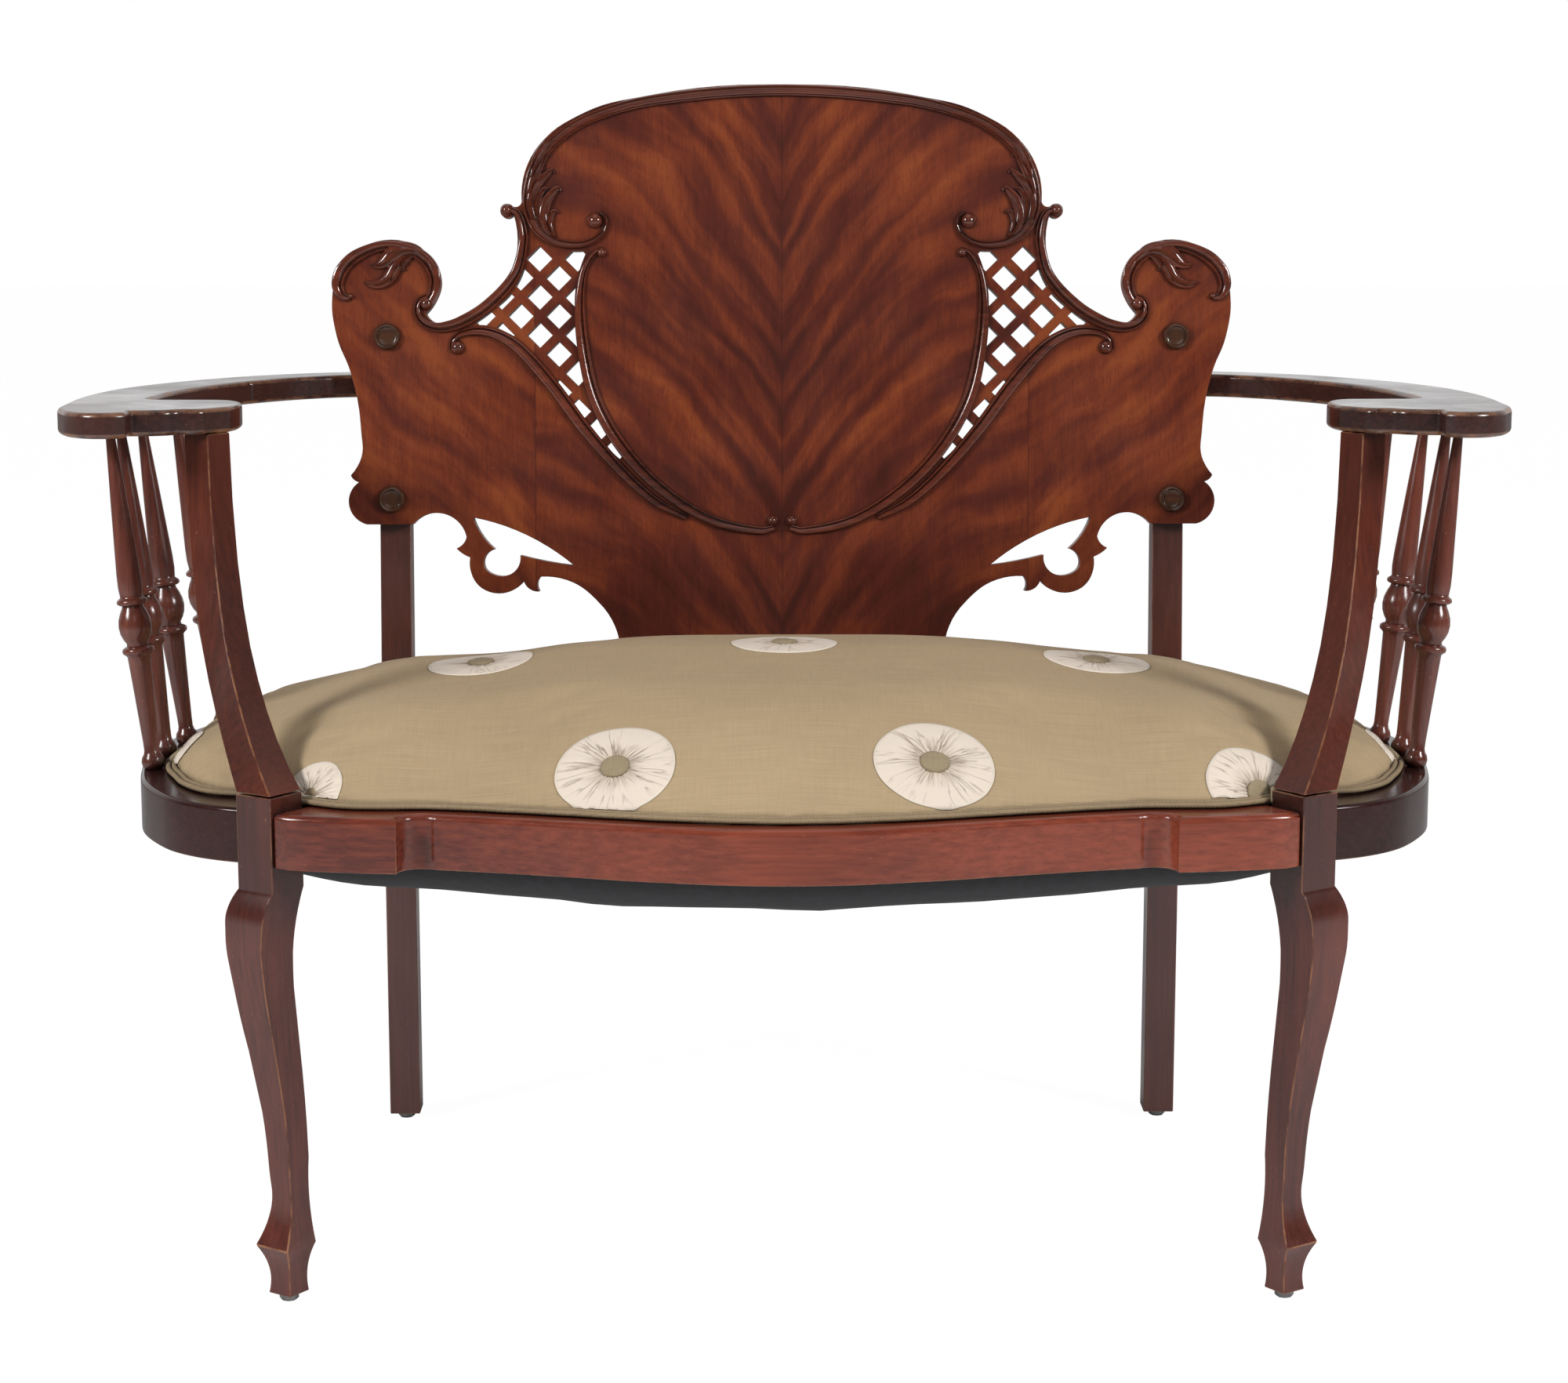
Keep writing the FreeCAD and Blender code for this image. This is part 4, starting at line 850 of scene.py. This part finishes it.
class SETTEE_OT_spindles(Operator):
    """Turned spindles between the side rails and the arms"""
    bl_idname = "settee.spindles"
    bl_label = "Spindles"

    # radius at each height above the side rail, up to the second collar
    TURNING = [(0, -12), (5, -12), (5, 0), (7.2, 0.2), (8.6, 2.5), (9.2, 6), (8.4, 9.5), (6.6, 12.2), (5.9, 15),
               (6.0, 22), (6.8, 40), (7.9, 64), (8.9, 84), (9.3, 91), (10.4, 92.3), (12.2, 93.6), (12.7, 95.5),
               (12.2, 97.4), (10.4, 98.6), (8.6, 99.4), (8.4, 101.5), (10.6, 105), (12.4, 109.5), (13.1, 115),
               (12.5, 120.5), (10.6, 126), (8.8, 129.5), (8.3, 131.6), (10.2, 132.2), (11.8, 133.2), (12.1, 134.7),
               (11.6, 136.2), (9.9, 137.4), (8.9, 138.4), (9.0, 140), (9.6, 146), (9.5, 156)]

    def execute(self, context):
        for number, (foot, top) in enumerate(zip(SPINDLE_FEET, SPINDLE_TOPS), 1):
            for side, label in ((-1, "left"), (1, "right")):
                low = Vector((side * foot[0], foot[1], RAIL_TOP * 1000))
                drop = (top[1] - 100) * math.tan(ARM_DROP)
                high = Vector((side * top[0], top[1], ARM_BOTTOM * 1000 - drop))
                length = (high - low).length
                profile = self.TURNING + [(6.6, 156 + (length - 156) * 0.5), (3.4, length), (3.3, length + 8),
                                          (0, length + 8)]
                axis = (high - low).normalized()
                place = (Matrix.Scale(0.001, 4) @ Matrix.Translation(low + Vector((0, -MIDDLE_Y * 1000, 0)))
                         @ axis.to_track_quat("Z", "Y").to_matrix().to_4x4())
                bm = bmesh.new()
                add_turning(bm, profile, place, 28)
                finish_piece("turned_%s_%d" % (label, number), bm, MATERIALS["turned"],
                             ["spindle_%s_%d" % (label, number)], 50)
        return {"FINISHED"}


def rise(value, low, high):
    """0 below low and 1 above high, eased in between."""
    share = min(1.0, max(0.0, (value - low) / (high - low)))
    return share * share * (3 - 2 * share)


def applied_mesh(piece):
    """The mesh of an object with all its modifiers applied."""
    depsgraph = bpy.context.evaluated_depsgraph_get()
    depsgraph.update()
    return bpy.data.meshes.new_from_object(piece.evaluated_get(depsgraph))


class SETTEE_OT_cushion(Operator):
    """Sprung seat, its cover blown up as cloth over a slightly smaller form"""
    bl_idname = "settee.cushion"
    bl_label = "Seat cushion"

    def execute(self, context):
        sizes = context.scene.settee_seat
        bm = bmesh.new()
        bm.from_mesh(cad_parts["seat_pad"].data)
        bmesh.ops.remove_doubles(bm, verts=bm.verts, dist=1e-5)
        mesh = bpy.data.meshes.new("seat_cover")
        bm.to_mesh(mesh)
        bm.free()
        piece = bpy.data.objects.new("seat_cover", mesh)
        context.scene.collection.objects.link(piece)
        remesh = piece.modifiers.new("Even mesh", "REMESH")
        remesh.mode = "VOXEL"
        remesh.voxel_size = 0.006
        even = applied_mesh(piece)
        piece.modifiers.clear()
        bm = bmesh.new()
        bm.from_mesh(even)
        floor = min(corner.co.z for corner in bm.verts)
        upper = [corner for corner in bm.verts if corner.co.z > floor + 0.004]
        lower = [corner for corner in bm.verts if corner.co.z <= floor + 0.004]
        for _ in range(9):
            bmesh.ops.smooth_vert(bm, verts=upper, factor=0.5, use_axis_x=True, use_axis_y=True, use_axis_z=True)
            bmesh.ops.smooth_vert(bm, verts=lower, factor=0.5, use_axis_x=True, use_axis_y=True, use_axis_z=False)
        bm.normal_update()
        for corner in bm.verts:
            x, behind, high = abs(corner.co.x), corner.co.y + MIDDLE_Y, corner.co.z - floor
            corner.co -= corner.normal * (0.0048 * rise(high, 0.003, 0.014) - 0.0022)
            lift = sizes.end_fill * rise(x, 0.395, 0.475)
            lift += sizes.corner_fill * rise(x, 0.2, 0.33) * (1 - rise(behind, 0.05, 0.17))
            lift *= min(1.0, max(0.0, (high - 0.003) / 0.009))
            hollow = 0.0065 if corner.co.x < 0 else 0.0045
            lift -= hollow * math.exp(-((x - 0.25) / 0.06) ** 2) * min(1.0, high / 0.03)
            corner.co.z += lift
        bm.to_mesh(mesh)
        bm.free()
        self.swell(context, piece, floor, sizes.swell)
        bm = bmesh.new()
        bm.from_mesh(piece.data)
        upper = [corner for corner in bm.verts if corner.co.z > floor + 0.009]
        for _ in range(4):
            bmesh.ops.smooth_vert(bm, verts=upper, factor=0.5, use_axis_x=True, use_axis_y=True, use_axis_z=True)
        bmesh.ops.subdivide_edges(bm, edges=bm.edges, cuts=1, use_grid_fill=True, smooth=1.0)
        mesh = piece.data
        bm.to_mesh(mesh)
        bm.free()
        for polygon in mesh.polygons:
            polygon.use_smooth = True
        mesh.materials.append(MATERIALS["cloth"])
        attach(piece, "root")
        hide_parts("seat_pad")
        return {"FINISHED"}

    @staticmethod
    def swell(context, piece, floor, most):
        start = [corner.co.copy() for corner in piece.data.vertices]
        held = piece.vertex_groups.new(name="held")
        held.add([c.index for c in piece.data.vertices if c.co.z < floor + 0.005], 1.0, "REPLACE")
        cloth = piece.modifiers.new("Cover", "CLOTH")
        cloth.settings.quality = 5
        cloth.settings.mass = 0.3
        cloth.settings.use_pressure = True
        cloth.settings.uniform_pressure_force = 3.0
        cloth.settings.vertex_group_mass = "held"
        cloth.settings.effector_weights.gravity = 0.0
        for number in range(1, 21):
            context.scene.frame_set(number)
        blown = applied_mesh(piece)
        piece.modifiers.clear()
        for corner, before, after in zip(piece.data.vertices, start, blown.vertices):
            move = after.co - before
            if move.length > most:
                move *= most / move.length
            corner.co = before + move
        context.scene.frame_set(1)


# Edge of the cover on the left half of the seat, from the front middle round to the back
SEAT_EDGE = [(0, -64), (-90, -52), (-180, -28), (-262, -9), (-325, -7), (-362, 11), (-400, 38), (-435, 48),
             (-457, 70), (-474, 108), (-486, 150), (-486, 212), (-474, 262), (-457, 322), (-435, 374),
             (-400, 411), (-362, 428), (-325, 432), (-262, 434), (-180, 434), (-90, 434), (0, 434)]


class SETTEE_OT_welt(Operator):
    """Double welt round the edge of the cover"""
    bl_idname = "settee.welt"
    bl_label = "Double welt"

    def execute(self, context):
        radius = context.scene.settee_seat.welt_radius * 1000
        around = SEAT_EDGE + [(-x, y) for x, y in reversed(SEAT_EDGE[1:-1])]
        path = smooth_path([(x, y, 0) for x, y in around], 6.0, closed=True)
        bm = bmesh.new()
        circle = [(math.cos(a), math.sin(a)) for a in [math.radians(d) for d in range(0, 360, 45)]]
        for offset, lift in ((-0.5, radius + 1.6), (2 * radius - 0.3, radius + 0.8)):
            moved = []
            for i, spot in enumerate(path):
                ahead = (path[(i + 1) % len(path)] - path[i - 1]).normalized()
                out = Vector((-ahead.y, ahead.x, 0))
                if out.dot(spot - Vector((0, 190, 0))) < 0:
                    out = -out
                wobble = 0.25 * math.sin(i * 0.9)
                moved.append(spot + out * (offset + wobble) + Vector((0, 0, 388 + lift - 1.0)))
            places = stations_along(moved, [radius * 2] * 2, [radius] * 2, closed=True)
            shift = Matrix.Scale(0.001, 4) @ Matrix.Translation((0, -MIDDLE_Y * 1000, 0))
            sweep(bm, circle, [shift @ place for place in places], closed=True)
        finish_piece("double_welt", bm, MATERIALS["welt"], ["seat_welt"], 60)
        return {"FINISHED"}


# middles of the rosettes, in millimetres across the seat and behind the front feet, their sizes, and the
# share of each that the photo shows above the welt
ROSETTES = [(0, 245, 0.93, 1), (-248, 240, 0.92, 1), (255, 240, 0.93, 1), (-129, -6, 0.98, 1), (110, -6, 0.98, 1),
            (-363, 11, 0.54, 0.5), (357, 13, 0.86, 0.65), (-488, 165, 0.62, 0.5), (488, 165, 0.62, 0.5)]
# the one whose button is bunched up against the right leg, and the one whose button is tucked under the welt
BUNCHED = 7
TUCKED = 6


class SETTEE_OT_rosettes(Operator):
    """Gathered silk rosettes with covered buttons, trimmed where they meet the welt"""
    bl_idname = "settee.rosettes"
    bl_label = "Rosettes"

    INNER = 0.21
    LOWEST = 0.3926

    def execute(self, context):
        sizes = context.scene.settee_seat
        cover = bpy.data.objects["seat_cover"]
        tree = BVHTree.FromObject(cover, context.evaluated_depsgraph_get())
        for number, (x, y, share, shown) in enumerate(ROSETTES, 1):
            middle = Vector((x / 1000, y / 1000 - MIDDLE_Y, 0))
            hit, normal, _, _ = tree.ray_cast(middle + Vector((0, 0, 1)), Vector((0, 0, -1)))
            if hit is None or hit.z < self.LOWEST:
                hit, normal, _, _ = tree.find_nearest(middle + Vector((0, 0, self.LOWEST + 0.001)), 0.02)
            if hit is None:
                raise RuntimeError("rosette %d misses the seat" % number)
            place = Matrix.Translation(hit) @ normal.to_track_quat("Z", "Y").to_matrix().to_4x4()
            self.silk(number, tree, place, normal, sizes.rosette_radius * share, sizes.pleats, shown)
            if number != TUCKED:
                self.button(number, place)
            if number == BUNCHED:
                self.button("bunched", Matrix.Translation((0.0135, -0.0035, -0.002)) @ place
                            @ Matrix.Rotation(0.5, 4, "Y") @ Matrix.Diagonal((0.7, 0.85, 1.3, 1)))
        return {"FINISHED"}

    def silk(self, number, tree, place, normal, radius, pleats, shown):
        rings, around = 14, 112
        bm = bmesh.new()
        spokes = [bm.verts.new((radius * (self.INNER + (1 - self.INNER) * i / rings), 0, 0))
                  for i in range(rings + 1)]
        edges = [bm.edges.new(pair) for pair in zip(spokes, spokes[1:])]
        bmesh.ops.spin(bm, geom=spokes + edges, axis=(0, 0, 1), cent=(0, 0, 0), angle=2 * math.pi,
                       steps=around, use_merge=True)
        bmesh.ops.remove_doubles(bm, verts=bm.verts, dist=1e-6)
        ray_layer = bm.verts.layers.float_vector.new("ray")
        reach_layer = bm.verts.layers.float.new("reach")

        def land(flat):
            spot = place @ Vector((flat.x, flat.y, 0.05))
            hit, surface, _, _ = tree.ray_cast(spot, -normal)
            return (hit, surface) if hit is not None and hit.z > self.LOWEST else None

        for corner in bm.verts:
            angle = math.atan2(corner.co.y, corner.co.x)
            reach = corner.co.length / radius
            ahead = Vector((math.cos(angle), math.sin(angle), 0))
            rim = 1 + 0.03 * noise.noise(ahead * 1.3 + Vector((0, 0, number * 7.7)))
            flat = corner.co * rim
            hit, surface = land(flat) or (None, None)
            low, high = 0.0, 1.0
            while hit is None or 0.004 < high - low < 1.0:
                share = (low + high) / 2
                tried = land(flat * share)
                if tried:
                    low, (hit, surface) = share, tried
                else:
                    high = share
                if high < 0.01:
                    hit, surface = place.translation, normal
            uneven = noise.noise(ahead * 2.2 + Vector((0, 0, number * 3.1)))
            pleat = math.sin(pleats * (angle + 0.3 * uneven)) * max(0.0, 1 - reach) ** 1.2
            puff = 0.0011 * math.sin(math.pi * min(1.0, (1 - reach) * 1.25)) if reach > self.INNER else 0.0
            corner.co = hit + surface * (0.0007 + 0.0005 * pleat + puff)
            corner[ray_layer] = ahead + Vector((0, 0, reach + number * 5))
            corner[reach_layer] = reach
        bmesh.ops.remove_doubles(bm, verts=bm.verts, dist=4e-5)
        piece = finish_piece("rosette_%d" % number, bm, MATERIALS["silk"], ["rosettes"], 80)
        if piece.data.polygons[0].normal.dot(normal) < 0:
            piece.data.flip_normals()
        wall = piece.modifiers.new("Silk", "SOLIDIFY")
        wall.thickness = 0.0006
        wall.offset = -1.0

    @staticmethod
    def button(number, place):
        button = bmesh.new()
        profile = [(10.6, -1.6), (11.2, 0.4), (11.0, 1.7), (9.9, 2.7), (7.4, 3.3), (4.5, 3.4), (2.0, 3.2),
                   (0, 3.1)]
        add_turning(button, profile, Matrix.Scale(0.001, 4), 36)
        for corner in button.verts:
            pucker = noise.noise(corner.co * 190 + Vector((0, 0, 9.0 if number == "bunched" else number)))
            corner.co.z += 0.0009 * pucker * (corner.co.length / 0.011)
        bmesh.ops.transform(button, matrix=place, verts=button.verts)
        finish_piece("rosette_button_%s" % number, button, MATERIALS["button cloth"], ["rosette_buttons"], 80)


class SETTEE_OT_underside(Operator):
    """Black dust cover tacked under the frame"""
    bl_idname = "settee.underside"
    bl_label = "Dust cover"

    # share of the full sag at each share of the way back, and creases across it
    HANG = [(0, 0), (0.05, 0.5), (0.13, 0.8), (0.26, 0.96), (0.45, 1.0), (0.75, 0.85), (0.92, 0.45), (1, 0)]
    CREASES = [(-138, 26, 2.6), (26, 22, 1.8), (215, 40, 1.5)]

    def execute(self, context):
        bm = bmesh.new()
        bmesh.ops.create_grid(bm, x_segments=60, y_segments=34, size=1.0)
        front = smooth_path([(x, y, 0) for x, y in SEAT_EDGE[:11]], 4.0)
        rear = smooth_path([(x, y, 0) for x, y in reversed(SEAT_EDGE[11:])], 4.0)

        def edge_at(line, across):
            for a, b in zip(line, line[1:]):
                if -b.x >= across:
                    share = (across + a.x) / max(a.x - b.x, 1e-6)
                    return a.y + (b.y - a.y) * share
            return line[-1].y

        hang = smooth_path([(depth * 100, fall * 10, 0) for depth, fall in self.HANG], 0.5)
        for corner in bm.verts:
            u, w = corner.co.x, (corner.co.y + 1) / 2
            x = 483 * math.sin(u * math.pi / 2)
            low, high = edge_at(front, abs(x)), edge_at(rear, abs(x))
            y = low + (high - low) * w
            fall = min(hang, key=lambda spot: abs(spot.x - w * 100)).y / 10
            drop = (1 - abs(x / 492) ** 2.8) ** 0.7 * fall
            crease = sum(deep * math.exp(-((x - middle) / width) ** 2) for middle, width, deep in self.CREASES)
            ripple = noise.noise(Vector((x / 70, y / 90, 0.3))) * 1.6 + crease
            corner.co = Vector((x, y - MIDDLE_Y * 1000, 342 - (43.5 + ripple) * drop)) * 0.001
        piece = finish_piece("dust_cloth", bm, MATERIALS["cambric"], ["dust_cover"], 80)
        wall = piece.modifiers.new("Cloth", "SOLIDIFY")
        wall.thickness = 0.0007
        # cut to the outline of SEAT_EDGE, from a piece 1 m wide
        return {"FINISHED"}


class SETTEE_OT_stage(Operator):
    """Floor, backdrop, lights and camera"""
    bl_idname = "settee.stage"
    bl_label = "Stage"

    def execute(self, context):
        scene = context.scene
        scene.view_settings.view_transform = "Standard"
        tint = tuple(scene.settee_stage.backdrop) + (1,)
        floor_mesh = bpy.data.meshes.new("floor")
        bm = bmesh.new()
        bmesh.ops.create_grid(bm, x_segments=1, y_segments=1, size=14)
        bm.to_mesh(floor_mesh)
        bm.free()
        floor = bpy.data.objects.new("floor", floor_mesh)
        scene.collection.objects.link(floor)
        paint, tree, surface = start_material("Studio floor")
        surface.inputs["Base Color"].default_value = tint
        surface.inputs["Roughness"].default_value = 0.9
        surface.inputs["Specular IOR Level"].default_value = 0.1
        glow = add(tree, "ShaderNodeEmission", {"Color": (1, 1, 1, 1), "Strength": 1.08})
        rays = add(tree, "ShaderNodeLightPath")
        share = maths(tree, "MULTIPLY", rays.outputs["Is Camera Ray"], 0.9)
        blend = add(tree, "ShaderNodeMixShader", {0: share, 1: surface.outputs[0], 2: glow.outputs[0]})
        output = [node for node in tree.nodes if node.bl_idname == "ShaderNodeOutputMaterial"][0]
        tree.links.new(blend.outputs[0], output.inputs["Surface"])
        floor_mesh.materials.append(paint)

        world = bpy.data.worlds.new("Studio")
        scene.world = world
        world.use_nodes = True
        tree = world.node_tree
        tree.nodes.clear()
        direction = add(tree, "ShaderNodeSeparateXYZ", {0: add(tree, "ShaderNodeTexCoord").outputs["Generated"]})
        behind = remap(tree, direction.outputs[1], 0.0, 0.75, 0.06, 0.95)
        rays = add(tree, "ShaderNodeLightPath")
        seen = add(tree, "ShaderNodeBackground", {"Color": (1, 1, 1, 1), "Strength": 1.0})
        shine = add(tree, "ShaderNodeBackground", {"Color": (1, 1, 1, 1), "Strength": behind})
        fill = add(tree, "ShaderNodeBackground", {"Color": (1, 1, 1, 1), "Strength": 0.2})
        mirrors = maths(tree, "MAXIMUM", rays.outputs["Is Glossy Ray"], rays.outputs["Is Transmission Ray"])
        lit = add(tree, "ShaderNodeMixShader", {0: mirrors, 1: fill.outputs[0], 2: shine.outputs[0]})
        whole = add(tree, "ShaderNodeMixShader", {0: rays.outputs["Is Camera Ray"], 1: lit.outputs[0],
                                                  2: seen.outputs[0]})
        output = tree.nodes.new("ShaderNodeOutputWorld")
        tree.links.new(whole.outputs[0], output.inputs["Surface"])

        lamps = [("left_softbox", (-2.2, -1.45, 1.7), 0.62, 52), ("right_softbox", (2.2, -1.45, 1.7), 0.62, 52),
                 ("top_softbox", (0, -0.5, 3.0), 1.6, 7), ("front_softbox", (0.2, -3.8, 2.4), 1.2, 5)]
        for name, spot, size, power in lamps:
            data = bpy.data.lights.new(name, "AREA")
            data.shape = "SQUARE"
            data.size = size
            data.energy = power
            lamp = bpy.data.objects.new(name, data)
            lamp.location = spot
            lamp.rotation_euler = (Vector(spot) - Vector((0, 0, 0.5))).to_track_quat("Z", "Y").to_euler()
            scene.collection.objects.link(lamp)

        data = bpy.data.cameras.new("camera")
        data.lens = 78.077
        data.sensor_width = 36
        camera = bpy.data.objects.new("camera", data)
        camera.location = (-0.0258, -2.73633, 0.915)
        camera.rotation_euler = (math.radians(90 - 9.964), 0, math.radians(-0.53))
        scene.collection.objects.link(camera)
        scene.camera = camera
        return {"FINISHED"}


class SETTEE_PT_panel(Panel):
    """Lists the settee's sizes and the steps that make it"""
    bl_idname = "SETTEE_PT_panel"
    bl_label = "Settee"
    bl_space_type = "VIEW_3D"
    bl_region_type = "UI"
    bl_category = "Settee"

    def draw(self, context):
        layout = self.layout
        for group in ("settee_back", "settee_frame", "settee_seat", "settee_stage"):
            settings = getattr(context.scene, group)
            for name in settings.__annotations__:
                layout.prop(settings, name)
        for step in STEPS:
            layout.operator(step.bl_idname)


GROUPS = {"settee_back": BackProps, "settee_frame": FrameProps, "settee_seat": SeatProps,
          "settee_stage": StageProps}
STEPS = [SETTEE_OT_board, SETTEE_OT_mouldings, SETTEE_OT_leaves, SETTEE_OT_buttons, SETTEE_OT_frame,
         SETTEE_OT_arms, SETTEE_OT_spindles, SETTEE_OT_cushion, SETTEE_OT_welt, SETTEE_OT_rosettes,
         SETTEE_OT_underside, SETTEE_OT_stage]


def register():
    for name, group in GROUPS.items():
        bpy.utils.register_class(group)
        setattr(bpy.types.Scene, name, PointerProperty(type=group))
    for step in STEPS:
        bpy.utils.register_class(step)
    bpy.utils.register_class(SETTEE_PT_panel)


def unregister():
    bpy.utils.unregister_class(SETTEE_PT_panel)
    for step in reversed(STEPS):
        bpy.utils.unregister_class(step)
    for name, group in GROUPS.items():
        delattr(bpy.types.Scene, name)
        bpy.utils.unregister_class(group)


def main():
    register()
    make_materials()
    dress_cad_pieces()
    bpy.ops.settee.board()
    bpy.ops.settee.mouldings()
    bpy.ops.settee.leaves()
    bpy.ops.settee.buttons()
    bpy.ops.settee.frame()
    bpy.ops.settee.arms()
    bpy.ops.settee.spindles()
    bpy.ops.settee.cushion()
    bpy.ops.settee.welt()
    bpy.ops.settee.rosettes()
    bpy.ops.settee.underside()
    bpy.ops.settee.stage()


if __name__ == "__main__":
    main()
